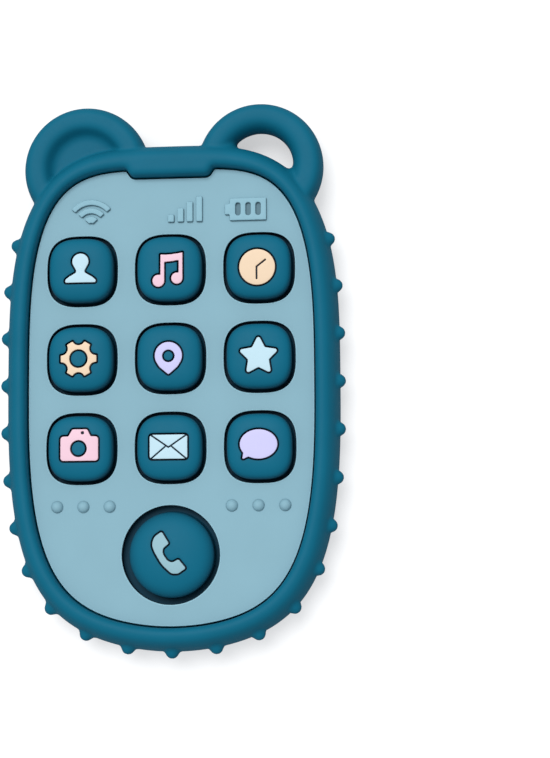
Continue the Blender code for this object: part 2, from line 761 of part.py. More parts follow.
def make_key(name, centre, spec, inlay_material):
    """A key and its inlay, both held by an empty that slides them."""
    place = (*centre, 0.0)
    top = spec["crown"]
    floor = top - INLAY_DEPTH
    key = key_loft("key_" + name, spec, key_profile(spec))
    pocket = inlay_block(name, INLAY_GAP, floor - INLAY_UNDER, top + CUT_OVER)
    boolean(key, pocket, "DIFFERENCE")
    inlay = inlay_block(name, 0.0, floor, top)
    inlay.name = "inlay_" + name
    for cutter in inlay_cutters(name, top):
        boolean(inlay, cutter, "DIFFERENCE")
    pivot = bpy.data.objects.new("slide_" + name, None)
    pivot.location = Vector(place) * MM
    bpy.context.scene.collection.objects.link(pivot)
    for piece, material_name in ((key, "teal"), (inlay, inlay_material)):
        piece.data.transform(Matrix.Translation(Vector(place) * MM))
        finish(piece, material_name, place, pivot)


def make_web(name, centre, spec):
    """Sloping ring from just above the well's ledge to just under the flange."""
    foot, head = spec["well"] - WEB_FOOT_GAP, spec["stem"] + WEB_HEAD_OUT
    rings = [(foot, WEB_LOW), (head, WEB_HIGH),
             (head - WEB_WALL, WEB_HIGH), (foot - WEB_WALL, WEB_LOW)]
    web = key_loft("web_" + name, spec, rings, centre, fewer=WEB_FEWER, loop=True)
    finish(web, "teal", (*centre, WEB_LOW))


make_body()
make_panel()
for key_name, (key_centre, key_spec, key_inlay) in KEYS.items():
    make_key(key_name, key_centre, key_spec, key_inlay)
    make_web(key_name, key_centre, key_spec)
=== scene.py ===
# A moulded silicone pad with a phone's face. It lies on its back on z = 0, face up
# along +Z, with its two ears at the +Y end: the right one (+X) is an open ring, the
# left one is closed by a thinner disc. A grey panel lies in a recess in the body, and
# ten keys with inlaid icons stand in the panel's holes on thin flexing webs.
# Lengths are in millimetres until a mesh is made; MM turns them into metres.
import math

import bpy
import numpy as np
from mathutils import Matrix, Vector
from mathutils.geometry import delaunay_2d_cdt


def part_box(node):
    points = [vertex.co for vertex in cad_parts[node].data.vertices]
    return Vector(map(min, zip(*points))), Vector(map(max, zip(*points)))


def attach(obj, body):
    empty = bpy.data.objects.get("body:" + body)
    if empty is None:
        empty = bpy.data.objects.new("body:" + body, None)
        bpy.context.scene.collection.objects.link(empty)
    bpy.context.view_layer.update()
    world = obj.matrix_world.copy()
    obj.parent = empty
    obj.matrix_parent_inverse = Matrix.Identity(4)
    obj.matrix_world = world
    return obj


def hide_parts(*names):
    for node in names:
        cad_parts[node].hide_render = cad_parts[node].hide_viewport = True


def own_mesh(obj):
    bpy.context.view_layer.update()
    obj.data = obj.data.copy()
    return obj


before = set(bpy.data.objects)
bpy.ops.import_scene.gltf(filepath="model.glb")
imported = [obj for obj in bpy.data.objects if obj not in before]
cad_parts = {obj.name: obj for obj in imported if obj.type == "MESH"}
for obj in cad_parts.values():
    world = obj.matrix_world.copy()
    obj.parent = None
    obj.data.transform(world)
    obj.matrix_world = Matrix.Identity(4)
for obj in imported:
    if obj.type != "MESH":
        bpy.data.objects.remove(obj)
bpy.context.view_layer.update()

MM = 0.001

# ---------------------------------------------------------------------------
# Places that come from the frame
# ---------------------------------------------------------------------------


def node_box(name):
    low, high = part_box(name)
    return [v * 1000 for v in low], [v * 1000 for v in high]


def key_centre(name):
    low, high = node_box("key_" + name)
    return (low[0] + high[0]) / 2, (low[1] + high[1]) / 2


KEYS = ("contact", "music", "clock", "settings", "place", "star",
        "camera", "letter", "speech", "call")
CENTRE = {key: key_centre(key) for key in KEYS}
GRID_Y = CENTRE["place"][1]
PANEL_BACK = node_box("face_panel")[0][2]
RIM_TOP = node_box("body_moulding")[1][2]
WEB_LOW = node_box("web_place")[0][2]
WEB_HIGH = node_box("web_place")[1][2]

# ---------------------------------------------------------------------------
# Sizes
# ---------------------------------------------------------------------------

# Outline laws: top and bottom give a half's height and its powers in x and y;
# swell gives how far the lower end is drawn down, and the width of that swelling.
BODY = dict(half_width=45.07, middle_y=GRID_Y - 3.67,
            top=(62.32, 3.3, 3.1), bottom=(66.68, 4.27, 3.06), swell=(7.66, 30.75))
PANEL = dict(half_width=38.58, middle_y=GRID_Y - 4.57,
             top=(55.9, 4.45, 3.02), bottom=(60.29, 4.51, 3.02), swell=(6.36, 26.98))
OUTLINE_STEPS = 5760

# Body section
BODY_WIDEST = 7.0           # height at which the rim is widest
RIM_ROUND = 4.8
BACK_ROUND, BACK_RISE = 3.6, 5.2
RIM_LIP = 2.0
RECESS_FLOOR = 9.7
WELL_FLOOR = 4.4            # step between a pocket's wide and narrow parts

# Panel
PANEL_FACE = PANEL_BACK + 2.5
PANEL_GAP = 0.45
PANEL_ROLL = 0.22           # rounding of the sheet's edges
PANEL_MARGIN = 0.12         # flat strip between a rounding and the open face
PANEL_WALL_TOP = PANEL_FACE - PANEL_ROLL - 0.05
NOTCH_HALF = 12.1           # flat notch in the panel's top edge
NOTCH_FOOT = 10.6
NOTCH_Y = GRID_Y + 48.95

# Ears, right then left. hole_reach is the width of the rounding at the hole.
EARS = (
    dict(centre=(24.12, GRID_Y + 52.38), radius=17.1,
         hole=(24.0, GRID_Y + 52.8), hole_radius=9.05, hole_reach=4.2, closed=False),
    dict(centre=(-23.53, GRID_Y + 52.62), radius=17.15,
         hole=(-23.6, GRID_Y + 52.75), hole_radius=9.3, hole_reach=3.6, closed=True),
)
EAR_LOW, EAR_HIGH = 2.4, 13.6
EAR_MIDDLE = (EAR_LOW + EAR_HIGH) / 2
EAR_HALF = (EAR_HIGH - EAR_LOW) / 2
EAR_REACH = 3.3
EAR_POWER = 2.3
DISC_MIDDLE, DISC_HALF, DISC_INSET = 7.5, 2.6, 4.0

# Studs round the rim, counted both ways from the bottom middle
STUD_SIDE_COUNT = 11
STUD_BOTTOM_COUNT = 5       # so many on each side keep the bottom pitch
STUD_PITCH, STUD_PITCH_BOTTOM = 12.86, 11.9
STUD_R, STUD_Z, STUD_ROOT = 1.75, 9.8, 2.2

# Keys. All but power, crown, drop, dome_power and the last three are half widths.
# drop and dome_power shape the crown. The third last is the painted shade on the key's foot,
# crown_start the share of the stem where the crown's rings stop, and the last the rings over
# which the painted shade down the crown's shoulders fades.
SQUARE = dict(power=2.9, hole=9.65, stem=8.7, flange=10.4, hollow=6.8, well=10.9, back=8.8,
              crown=node_box("key_place")[1][2], drop=3.4, dome_power=3.0,
              flange_shade=0.9, crown_start=0.74, fade=8)
ROUND = dict(power=2.0, hole=13.15, stem=11.3, flange=13.9, hollow=9.0, well=14.5, back=12.2,
             crown=node_box("key_call")[1][2], drop=4.1, dome_power=2.15,
             flange_shade=0.8, crown_start=0.62, fade=10)
FLANGE_LOW, FLANGE_HIGH = 8.6, 9.7
ROOF_DEPTH = 2.6            # from the crown to the roof of the key's hollow
KEY_SIDES = 144
CALL_SHIFT = 0.4            # the call key sits a little to the right in its hole


def key_spec(key):
    return ROUND if key == "call" else SQUARE


# ---------------------------------------------------------------------------
# Plane outlines
# ---------------------------------------------------------------------------


def superellipse(half_width, top, bottom, count):
    """Closed oval from its lowest point; top and bottom are (height, power x, power y)."""
    angle = -math.pi / 2 + 2 * math.pi * np.arange(count) / count
    cos, sin = np.cos(angle), np.sin(angle)
    height, power_x, power_y = (np.where(sin >= 0, upper, lower)
                                for upper, lower in zip(top, bottom))
    return np.stack([np.sign(cos) * half_width * np.abs(cos) ** (2 / power_x),
                     np.sign(sin) * height * np.abs(sin) ** (2 / power_y)], 1)


def drawn_outline(spec):
    """Outline of the body or the panel: two half ovals, the lower one drawn down."""
    dense = superellipse(spec["half_width"], spec["top"], spec["bottom"], OUTLINE_STEPS)
    deep, spread = spec["swell"]
    height, _, power = spec["bottom"]
    low = np.clip(-dense[:, 1] / height, 0, 1) ** (power / 2)
    dense[:, 1] += spec["middle_y"] - deep * np.exp(-(dense[:, 0] / spread) ** 2) * low
    return dense


def path_length(points):
    """Length along an open line up to each of its points."""
    return np.r_[0, np.cumsum(np.hypot(*np.diff(points, axis=0).T))]


def resample(points, count, closed=True):
    """Points at equal steps; an open line keeps both its ends."""
    points = np.asarray(points, float)
    if closed:
        points = np.vstack([points, points[:1]])
    length = path_length(points)
    at = np.linspace(0, length[-1], count, endpoint=not closed)
    return np.stack([np.interp(at, length, points[:, 0]),
                     np.interp(at, length, points[:, 1])], 1)


def rounded_square(half, power, count, centre=(0.0, 0.0)):
    arch = (half, power, power)
    return resample(superellipse(half, arch, arch, 2880), count) + np.array(centre)


def circle(centre, radius, count):
    angle = 2 * np.pi * np.arange(count) / count
    return np.stack([centre[0] + radius * np.cos(angle),
                     centre[1] + radius * np.sin(angle)], 1)


def arc(centre, radius, start, end, steps):
    angle = np.radians(np.linspace(start, end, steps + 1))
    return [(centre[0] + radius * cos, centre[1] + radius * sin)
            for cos, sin in zip(np.cos(angle), np.sin(angle))]


def rectangle(left, bottom, right, top):
    return [(left, bottom), (right, bottom), (right, top), (left, top)]


def line_box(start, end, width):
    """Rectangle of this width along a line."""
    (start_x, start_y), (end_x, end_y) = start, end
    length = math.hypot(end_x - start_x, end_y - start_y)
    side_x = -(end_y - start_y) / length * width / 2
    side_y = (end_x - start_x) / length * width / 2
    return [(start_x + side_x, start_y + side_y), (start_x - side_x, start_y - side_y),
            (end_x - side_x, end_y - side_y), (end_x + side_x, end_y + side_y)]


def soften(corners, radii, steps=6):
    """Rounds each corner of an outline to its own radius."""
    found = []
    for i, ((x, y), radius) in enumerate(zip(corners, radii)):
        last_x, last_y = corners[i - 1]
        next_x, next_y = corners[(i + 1) % len(corners)]
        last_run = math.hypot(last_x - x, last_y - y)
        next_run = math.hypot(next_x - x, next_y - y)
        # Unit steps from the corner towards its two neighbours
        back_x, back_y = (last_x - x) / last_run, (last_y - y) / last_run
        on_x, on_y = (next_x - x) / next_run, (next_y - y) / next_run
        inside = math.acos(max(-1.0, min(1.0, back_x * on_x + back_y * on_y)))
        if radius <= 0 or inside > math.radians(175):
            found.append((x, y))
            continue
        cut = min(radius / math.tan(inside / 2), 0.48 * last_run, 0.48 * next_run)
        radius = cut * math.tan(inside / 2)
        reach = radius / math.sin(inside / 2)
        middle = Vector((back_x + on_x, back_y + on_y)).normalized() * reach
        centre_x, centre_y = x + middle.x, y + middle.y
        start = math.atan2(y + back_y * cut - centre_y, x + back_x * cut - centre_x)
        sweep = math.atan2(y + on_y * cut - centre_y, x + on_x * cut - centre_x) - start
        sweep = (sweep + math.pi) % (2 * math.pi) - math.pi
        found += [(centre_x + radius * math.cos(start + sweep * k / steps),
                   centre_y + radius * math.sin(start + sweep * k / steps))
                  for k in range(steps + 1)]
    return found


def panel_outline():
    """The panel's oval with the flat notch in its top edge, mirrored about x = 0."""
    right = drawn_outline(PANEL)[:OUTLINE_STEPS // 2 + 1]
    side = right[(right[:, 1] < GRID_Y) | (right[:, 0] > NOTCH_HALF)]
    side = resample(side, 360, closed=False)
    corner, before = tuple(side[-1]), tuple(side[-4])
    # The last two corners only steer the bend at the notch's foot
    bend = soften([before, corner, (NOTCH_FOOT, NOTCH_Y), (6.0, NOTCH_Y), (6.0, NOTCH_Y + 20)],
                  [0, 0.35, 2.0, 0, 0], 10)
    bend = [point for point in bend if point[1] < NOTCH_Y + 10 and point != before]
    side = side[:-4]
    notch = resample(np.vstack([side[-1:], bend]), 34, closed=False)[1:]
    flat = resample(np.array([notch[-1], (0.0, NOTCH_Y)]), 14, closed=False)[1:]
    right = np.vstack([side, notch, flat])
    left = right[::-1][1:-1] * (-1, 1)
    return np.vstack([right, left])


PANEL_EDGE_LINE = panel_outline()

# ---------------------------------------------------------------------------
# Signed distances in the plane
# ---------------------------------------------------------------------------


def crossed_oddly(start, end, x, y):
    """True where a ray from a point crosses an odd number of edges; x, y are columns."""
    rise = end[:, 1] - start[:, 1]
    slope = (end[:, 0] - start[:, 0]) / np.where(rise == 0, 1e-30, rise)
    crossed = (((start[:, 1] > y) != (end[:, 1] > y))
               & (x < start[:, 0] + slope * (y - start[:, 1])))
    return crossed.sum(1) % 2 == 1


def inside_loops(loops, x, y):
    """True where a point lies in an odd number of the loops."""
    odd = np.zeros(len(x), bool)
    for loop in loops:
        for first in range(0, len(x), 4000):
            part = slice(first, first + 4000)
            odd[part] ^= crossed_oddly(loop, np.roll(loop, -1, 0),
                                       x[part, None], y[part, None])
    return odd


def signed_distance(polygon, x, y):
    """Distance to a closed outline, negative inside."""
    start = np.asarray(polygon, float)
    end = np.roll(start, -1, 0)
    run = end - start
    run_squared = np.maximum((run * run).sum(1), 1e-12)
    x, y = np.ravel(x), np.ravel(y)
    best = np.empty(len(x))
    odd = np.zeros(len(x), bool)
    step = max(1, int(3e6 / len(start)))
    for first in range(0, len(x), step):
        part = slice(first, first + step)
        off_x, off_y = x[part, None] - start[:, 0], y[part, None] - start[:, 1]
        share = np.clip((off_x * run[:, 0] + off_y * run[:, 1]) / run_squared, 0, 1)
        best[part] = np.sqrt(((off_x - share * run[:, 0]) ** 2
                              + (off_y - share * run[:, 1]) ** 2).min(1))
        odd[part] = crossed_oddly(start, end, x[part, None], y[part, None])
    return np.where(odd, -best, best)


class Field:
    """A signed distance on an even grid, read with bilinear blending."""

    def __init__(self, value, low, step):
        self.value, self.low, self.step = value, low, step

    @classmethod
    def of(cls, polygons, low, high, step):
        grid_x, grid_y = np.meshgrid(np.arange(low[0], high[0] + step, step),
                                     np.arange(low[1], high[1] + step, step), indexing="ij")
        value = np.minimum.reduce([signed_distance(polygon, grid_x, grid_y)
                                   for polygon in polygons])
        return cls(value.reshape(grid_x.shape), low, step)

    def blurred(self, rounds):
        value = self.value
        for _ in range(rounds):
            value = np.pad(value, 1, mode="edge")
            value = (value[:-2] + 2 * value[1:-1] + value[2:]) / 4
            value = (value[:, :-2] + 2 * value[:, 1:-1] + value[:, 2:]) / 4
        return Field(value, self.low, self.step)

    def __call__(self, x, y):
        columns, rows = self.value.shape
        u = np.clip((np.asarray(x) - self.low[0]) / self.step, 0, columns - 1.001)
        v = np.clip((np.asarray(y) - self.low[1]) / self.step, 0, rows - 1.001)
        i, j = u.astype(int), v.astype(int)
        u, v = u - i, v - j
        grid = self.value
        return (grid[i, j] * (1 - u) * (1 - v) + grid[i + 1, j] * u * (1 - v)
                + grid[i, j + 1] * (1 - u) * v + grid[i + 1, j + 1] * u * v)


def contour(field, level, spacing):
    """Closed loops where the field takes this value, at even spacing."""
    grid = field.value - level
    grid = np.where(np.abs(grid) < 1e-9, 1e-9, grid)
    inside = grid < 0

    def crossing(edge):
        """Where the line crosses a grid edge, given as its start and its axis."""
        i, j, axis = edge
        here = grid[i, j]
        there = grid[i + 1, j] if axis == 0 else grid[i, j + 1]
        share = here / (here - there)
        return (field.low[0] + (i + (share if axis == 0 else 0)) * field.step,
                field.low[1] + (j + (share if axis == 1 else 0)) * field.step)

    links = {}
    mixed = (inside[:-1, :-1].astype(int) + inside[1:, :-1]
             + inside[:-1, 1:] + inside[1:, 1:])
    for i, j in zip(*np.nonzero((mixed > 0) & (mixed < 4))):
        corners = (inside[i, j], inside[i + 1, j], inside[i + 1, j + 1], inside[i, j + 1])
        edges = ((i, j, 0), (i + 1, j, 1), (i, j + 1, 0), (i, j, 1))
        starts, ends = [], []
        for k in range(4):
            this, following = corners[k], corners[(k + 1) % 4]
            if this and not following:
                starts.append(edges[k])
            elif following and not this:
                ends.append(edges[k])
        # Where two lines share a cell, a start never takes the end right after it
        if (len(starts) == 2
                and edges.index(ends[0]) == (edges.index(starts[0]) + 1) % 4):
            ends.reverse()
        links.update(zip(starts, ends))
    loops = []
    while links:
        edge = next(iter(links))
        loop = []
        while edge in links:
            loop.append(crossing(edge))
            edge = links.pop(edge)
        loop = np.array(loop)
        length = np.hypot(*(loop - np.roll(loop, -1, 0)).T).sum()
        if length > 0.5:
            loops.append(resample(loop, max(8, int(round(length / spacing)))))
    return loops


def turned(loop):
    """The loop's normals, pointing to its right."""
    tangent = np.roll(loop, -1, 0) - np.roll(loop, 1, 0)
    tangent /= np.maximum(np.linalg.norm(tangent, axis=1), 1e-9)[:, None]
    return np.stack([tangent[:, 1], -tangent[:, 0]], 1)


def area_of(loop):
    x, y = loop.T
    return 0.5 * float((x * np.roll(y, -1) - y * np.roll(x, -1)).sum())


def region(field, level, spacing):
    """Loops of the part below this level, with it on the left of each."""
    loops = contour(field, level, spacing)
    biggest = max(loops, key=lambda loop: abs(area_of(loop)))
    if area_of(biggest) < 0:
        loops = [loop[::-1] for loop in loops]
    return loops


# ---------------------------------------------------------------------------
# Mesh from a solid's signed distance
# ---------------------------------------------------------------------------

# A cell's corners, and its edges as pairs of corners
CELL_CORNERS = np.array(list(np.ndindex(2, 2, 2)))
CELL_EDGES = np.array([(0, 1), (2, 3), (4, 5), (6, 7), (0, 2), (1, 3), (4, 6), (5, 7),
                       (0, 4), (1, 5), (2, 6), (3, 7)])


def link_object(name, mesh):
    obj = bpy.data.objects.new(name, mesh)
    bpy.context.scene.collection.objects.link(obj)
    return obj


def mesh_of_quads(name, vertices, quads):
    mesh = bpy.data.meshes.new(name)
    mesh.vertices.add(len(vertices))
    mesh.vertices.foreach_set("co", (vertices * MM).astype(np.float32).ravel())
    mesh.loops.add(quads.size)
    mesh.loops.foreach_set("vertex_index", quads.astype(np.int32).ravel())
    mesh.polygons.add(len(quads))
    mesh.polygons.foreach_set("loop_start", np.arange(0, quads.size, 4, dtype=np.int32))
    mesh.polygons.foreach_set("loop_total", np.full(len(quads), 4, np.int32))
    mesh.update(calc_edges=True)
    mesh.validate()
    mesh.shade_smooth()
    return link_object(name, mesh)


def project(shape, points, cell, rounds):
    """Moves points along the gradient onto the shape's zero surface."""
    h = 0.04
    for _ in range(rounds):
        x, y, z = points.T
        value = shape(x, y, z)
        slope = np.stack([shape(x + h, y, z) - shape(x - h, y, z),
                          shape(x, y + h, z) - shape(x, y - h, z),
                          shape(x, y, z + h) - shape(x, y, z - h)], 1) / (2 * h)
        steepness = np.maximum((slope * slope).sum(1), 0.05)
        move = -(value / steepness)[:, None] * slope
        size = np.linalg.norm(move, axis=1)
        move *= np.minimum(1, 0.5 * cell / np.maximum(size, 1e-9))[:, None]
        points = points + move
    return points


def cell_points(grid, cells):
    """Mean crossing of each cell's edges, in cells from the grid's low corner."""
    values = np.stack([grid[tuple((cells + corner).T)] for corner in CELL_CORNERS],
                      1).astype(float)
    total, count = np.zeros((len(cells), 3)), np.zeros(len(cells))
    for start, end in CELL_EDGES:
        here, there = values[:, start], values[:, end]
        cut = (here < 0) != (there < 0)
        share = np.where(cut, here / np.where(cut, here - there, 1), 0)
        along = CELL_CORNERS[end] - CELL_CORNERS[start]
        total += cut[:, None] * (CELL_CORNERS[start] + share[:, None] * along)
        count += cut
    return cells + total / count[:, None]


def cell_quads(inside, cells):
    """A quad round every grid edge that crosses the surface."""
    counts = inside.shape
    index = np.full([count - 1 for count in counts], -1, np.int64)
    index[tuple(cells.T)] = np.arange(len(cells))
    quads = []
    for axis in range(3):
        front, back = [slice(None)] * 3, [slice(None)] * 3
        front[axis], back[axis] = slice(1, None), slice(None, -1)
        at = np.argwhere(inside[tuple(back)] != inside[tuple(front)])
        u, v = (axis + 1) % 3, (axis + 2) % 3
        at = at[(at[:, u] > 0) & (at[:, v] > 0)
                & (at[:, u] < counts[u] - 1) & (at[:, v] < counts[v] - 1)]
        quad = []
        for step_u, step_v in ((-1, -1), (0, -1), (0, 0), (-1, 0)):
            cell = at.copy()
            cell[:, u] += step_u
            cell[:, v] += step_v
            quad.append(index[tuple(cell.T)])
        quad = np.stack(quad, 1)
        flip = ~inside[tuple(at.T)]
        quad[flip] = quad[flip][:, ::-1]
        quads.append(quad)
    quads = np.vstack(quads)
    return quads[(quads >= 0).all(1)]


def surface_nets(shape, low, high, cell, relax=2):
    """Quads over the zero surface of a shape, evened out and moved onto it."""
    low = np.asarray(low, float)
    counts = [int(math.ceil((high[k] - low[k]) / cell)) + 1 for k in range(3)]
    axes = [low[k] + cell * np.arange(counts[k]) for k in range(3)]
    grid = np.empty(counts, np.float32)
    grid_y, grid_z = np.meshgrid(axes[1], axes[2], indexing="ij")
    for i, x in enumerate(axes[0]):
        layer = shape(np.full(grid_y.size, x), grid_y.ravel(), grid_z.ravel())
        grid[i] = layer.reshape(grid_y.shape)
    inside = grid < 0
    total = np.zeros([count - 1 for count in counts], np.int8)
    for i, j, k in CELL_CORNERS:
        total += inside[i:counts[0] - 1 + i, j:counts[1] - 1 + j, k:counts[2] - 1 + k]
    cells = np.argwhere((total > 0) & (total < 8))
    quads = cell_quads(inside, cells)
    points = project(shape, low + cell_points(grid, cells) * cell, cell, 2)
    starts = np.concatenate([quads[:, k] for k in range(4)])
    ends = np.concatenate([quads[:, (k + 1) % 4] for k in range(4)])
    here, there = np.concatenate([starts, ends]), np.concatenate([ends, starts])
    degree = np.bincount(here, minlength=len(points)).astype(float)
    for _ in range(relax):
        mean = np.stack([np.bincount(here, points[there, k], len(points)) / degree
                         for k in range(3)], 1)
        points = project(shape, points * 0.5 + mean * 0.5, cell, 1)
    return project(shape, points, cell, 1), quads


def smooth_min(first, second, width):
    share = np.clip(0.5 + 0.5 * (second - first) / width, 0, 1)
    return second * (1 - share) + first * share - width * share * (1 - share)


def smooth_max(first, second, width):
    return -smooth_min(-first, -second, width)


# ---------------------------------------------------------------------------
# Body moulding: one soft block with ears, studs, a recess and ten pockets
# ---------------------------------------------------------------------------

# Grid of the rim's section: reach from the outline, then height
SECTION_LOW, SECTION_HIGH, SECTION_STEP = (-16.0, -4.0), (14.0, 21.0), 0.1
# Grid of the outlines in plan
PLAN_LOW, PLAN_HIGH = (-50.0, GRID_Y - 82.0), (50.0, GRID_Y + 74.0)
# Half width of the square round a key in which its pocket can reach the body
POCKET_REACH = 16.5
FLARE = 0.8                 # pockets widen over this height at the back
# Widths of the soft joins
EAR_EDGE_JOIN, DISC_JOIN, CLOSED_EAR_JOIN = 0.6, 2.2, 0.5
STUD_JOIN, RECESS_JOIN, POCKET_JOIN = 1.3, 0.9, 0.25


def body_line(count):
    return resample(drawn_outline(BODY), count)


def section_field():
    """Distance to the rim's cross-section, over reach from the outline and height."""
    ring = []
    for k in range(25):
        angle = math.radians(90 * k / 24)
        ring.append((-BACK_ROUND * (1 - math.sin(angle)), BACK_RISE * (1 - math.cos(angle))))
    for k in range(37):
        angle = math.radians(90 * k / 36)
        ring.append((-RIM_ROUND * (1 - math.cos(angle)),
                     BODY_WIDEST + (RIM_TOP - BODY_WIDEST) * math.sin(angle)))
    ring += [(-60.0, RIM_TOP), (-60.0, 0.0)]
    return Field.of([ring], SECTION_LOW, SECTION_HIGH, SECTION_STEP)


def stud_places():
    """Each stud's point on the outline and its outward direction."""
    line = body_line(2880)
    length = path_length(np.vstack([line, line[:1]]))
    places = []
    for k in range(-STUD_SIDE_COUNT, STUD_SIDE_COUNT + 1):
        at = (STUD_PITCH_BOTTOM * min(abs(k), STUD_BOTTOM_COUNT)
              + STUD_PITCH * max(abs(k) - STUD_BOTTOM_COUNT, 0))
        at = (at if k >= 0 else -at) % length[-1]
        i = int(np.searchsorted(length, at, side="right") - 1) % len(line)
        run = line[(i + 1) % len(line)] - line[i]
        share = (at - length[i]) / max(length[i + 1] - length[i], 1e-9)
        tangent = run / np.linalg.norm(run)
        places.append((line[i] + run * share, np.array([tangent[1], -tangent[0]])))
    return places


def ear_edge(wall, z, reach):
    """Soft half-round edge: wall is the distance outside the ear's wall."""
    across = np.maximum(wall + reach, 0) / reach
    tall = np.abs(z - EAR_MIDDLE) / EAR_HALF
    radius = np.maximum((across ** EAR_POWER + tall ** EAR_POWER) ** (1 / EAR_POWER), 1e-4)
    scale = np.where(across > tall, reach, EAR_HALF)
    both = np.maximum(across + tall, 1e-4)
    blend = reach * across / both + EAR_HALF * tall / both
    return (radius - 1) * np.minimum(blend, scale * 1.2)


def add_ears(body, x, y, z):
    for ear in EARS:
        centre_x, centre_y = ear["centre"]
        near = (np.abs(x - centre_x) < 21) & (y > GRID_Y + 30)
        if not near.any():
            continue
        near_x, near_y, near_z = x[near], y[near], z[near]
        outer = np.hypot(near_x - centre_x, near_y - centre_y) - ear["radius"]
        inner = ear["hole_radius"] - np.hypot(near_x - ear["hole"][0], near_y - ear["hole"][1])
        ring = smooth_max(ear_edge(outer, near_z, EAR_REACH),
                          ear_edge(inner, near_z, ear["hole_reach"]), EAR_EDGE_JOIN)
        if ear["closed"]:
            disc = np.maximum(outer + DISC_INSET, np.abs(near_z - DISC_MIDDLE) - DISC_HALF)
            ring = smooth_min(ring, disc, DISC_JOIN)
            join = CLOSED_EAR_JOIN
        else:
            # The join to the body widens towards the hole
            join = 0.6 + 2.0 * np.clip(inner / 2 + 1, 0, 1)
        body[near] = smooth_min(body[near], ring, join)


def add_studs(body, x, y, z, studs):
    for place, out in studs:
        off_x, off_y = x - place[0], y - place[1]
        near = (np.abs(off_x) < 5) & (np.abs(off_y) < 5)
        if not near.any():
            continue
        off_x, off_y, off_z = off_x[near], off_y[near], z[near] - STUD_Z
        reach = np.clip(off_x * out[0] + off_y * out[1], -STUD_ROOT, 0.0)
        peg = np.sqrt((off_x - reach * out[0]) ** 2 + (off_y - reach * out[1]) ** 2
                      + off_z ** 2) - STUD_R
        body[near] = smooth_min(body[near], peg, STUD_JOIN)


def cut_recess(body, z, panel_distance):
    """The panel's recess: a wall with a rounded lip, standing on a flat floor."""
    u = RIM_LIP - (panel_distance - PANEL_GAP)
    v = z - (RIM_TOP - RIM_LIP)
    wall = np.hypot(np.maximum(u, 0), np.maximum(v, 0)) + np.minimum(np.maximum(u, v), 0) - RIM_LIP
    ledge = np.minimum(wall, z - RECESS_FLOOR)
    return np.where(ledge > -2.5, smooth_max(body, ledge, RECESS_JOIN), body)


def cut_pockets(body, x, y, z, wells):
    """Under each key a wide well from above and a narrower one through the back."""
    for key, centre in CENTRE.items():
        off_x, off_y = x - centre[0], y - centre[1]
        near = (np.abs(off_x) < POCKET_REACH) & (np.abs(off_y) < POCKET_REACH)
        if not near.any():
            continue
        off_x, off_y, near_z = off_x[near], off_y[near], z[near]
        well, back = wells[key == "call"]
        upper = np.maximum(well(off_x, off_y), WELL_FLOOR - near_z)
        flare = np.clip(FLARE - near_z, 0, FLARE)
        lower = back(off_x, off_y) - flare * flare * 0.6
        body[near] = smooth_max(body[near], -np.minimum(upper, lower), POCKET_JOIN)


def body_shape():
    """Signed distance of the whole moulding, as a function of x, y and z."""
    line = Field.of([body_line(900)], PLAN_LOW, PLAN_HIGH, 0.5)
    panel = Field.of([PANEL_EDGE_LINE], PLAN_LOW, PLAN_HIGH, 0.25)
    section = section_field()
    wells = [[Field.of([rounded_square(spec[part], spec["power"], 260)],
                       (-17.0, -17.0), (17.0, 17.0), 0.2) for part in ("well", "back")]
             for spec in (SQUARE, ROUND)]
    studs = stud_places()
    low = [v + SECTION_STEP for v in SECTION_LOW]
    high = [v - SECTION_STEP for v in SECTION_HIGH]

    def shape(x, y, z):
        body = section(np.clip(line(x, y), low[0], high[0]), np.clip(z, low[1], high[1]))
        add_ears(body, x, y, z)
        add_studs(body, x, y, z, studs)
        body = cut_recess(body, z, panel(x, y))
        cut_pockets(body, x, y, z, wells)
        return body

    return shape


def build_body():
    cell = 0.72
    points, quads = surface_nets(body_shape(), (-49.0, GRID_Y - 81.0, -1.5),
                                 (49.0, GRID_Y + 72.5, RIM_TOP + 1.6), cell)
    return mesh_of_quads("body_shell", points, quads)


# ---------------------------------------------------------------------------
# Pieces made of rings and caps
# ---------------------------------------------------------------------------

SHARP_ANGLE = 42


def level(z):
    """A flat surface at this height."""
    return lambda x, y: np.full(len(x), z)


def quarter(steps):
    return [math.radians(90 * k / steps) for k in range(steps + 1)]


def fill_points(outlines, spacing):
    """Staggered grid of points inside the outlines, clear of their edges."""
    xy = np.concatenate(outlines)
    low, high = xy.min(0), xy.max(0)
    x, y = np.meshgrid(np.arange(low[0], high[0], spacing),
                       np.arange(low[1], high[1], spacing * 0.866), indexing="ij")
    x = x + (np.arange(x.shape[1]) % 2) * spacing / 2
    x, y = x.ravel(), y.ravel()
    keep = inside_loops(outlines, x, y)
    x, y = x[keep], y[keep]
    near = np.full(len(x), 1e9)
    for outline in outlines:
        near = np.minimum(near, np.abs(signed_distance(outline, x, y)))
    keep = near > 0.5 * spacing
    return np.stack([x[keep], y[keep]], 1)


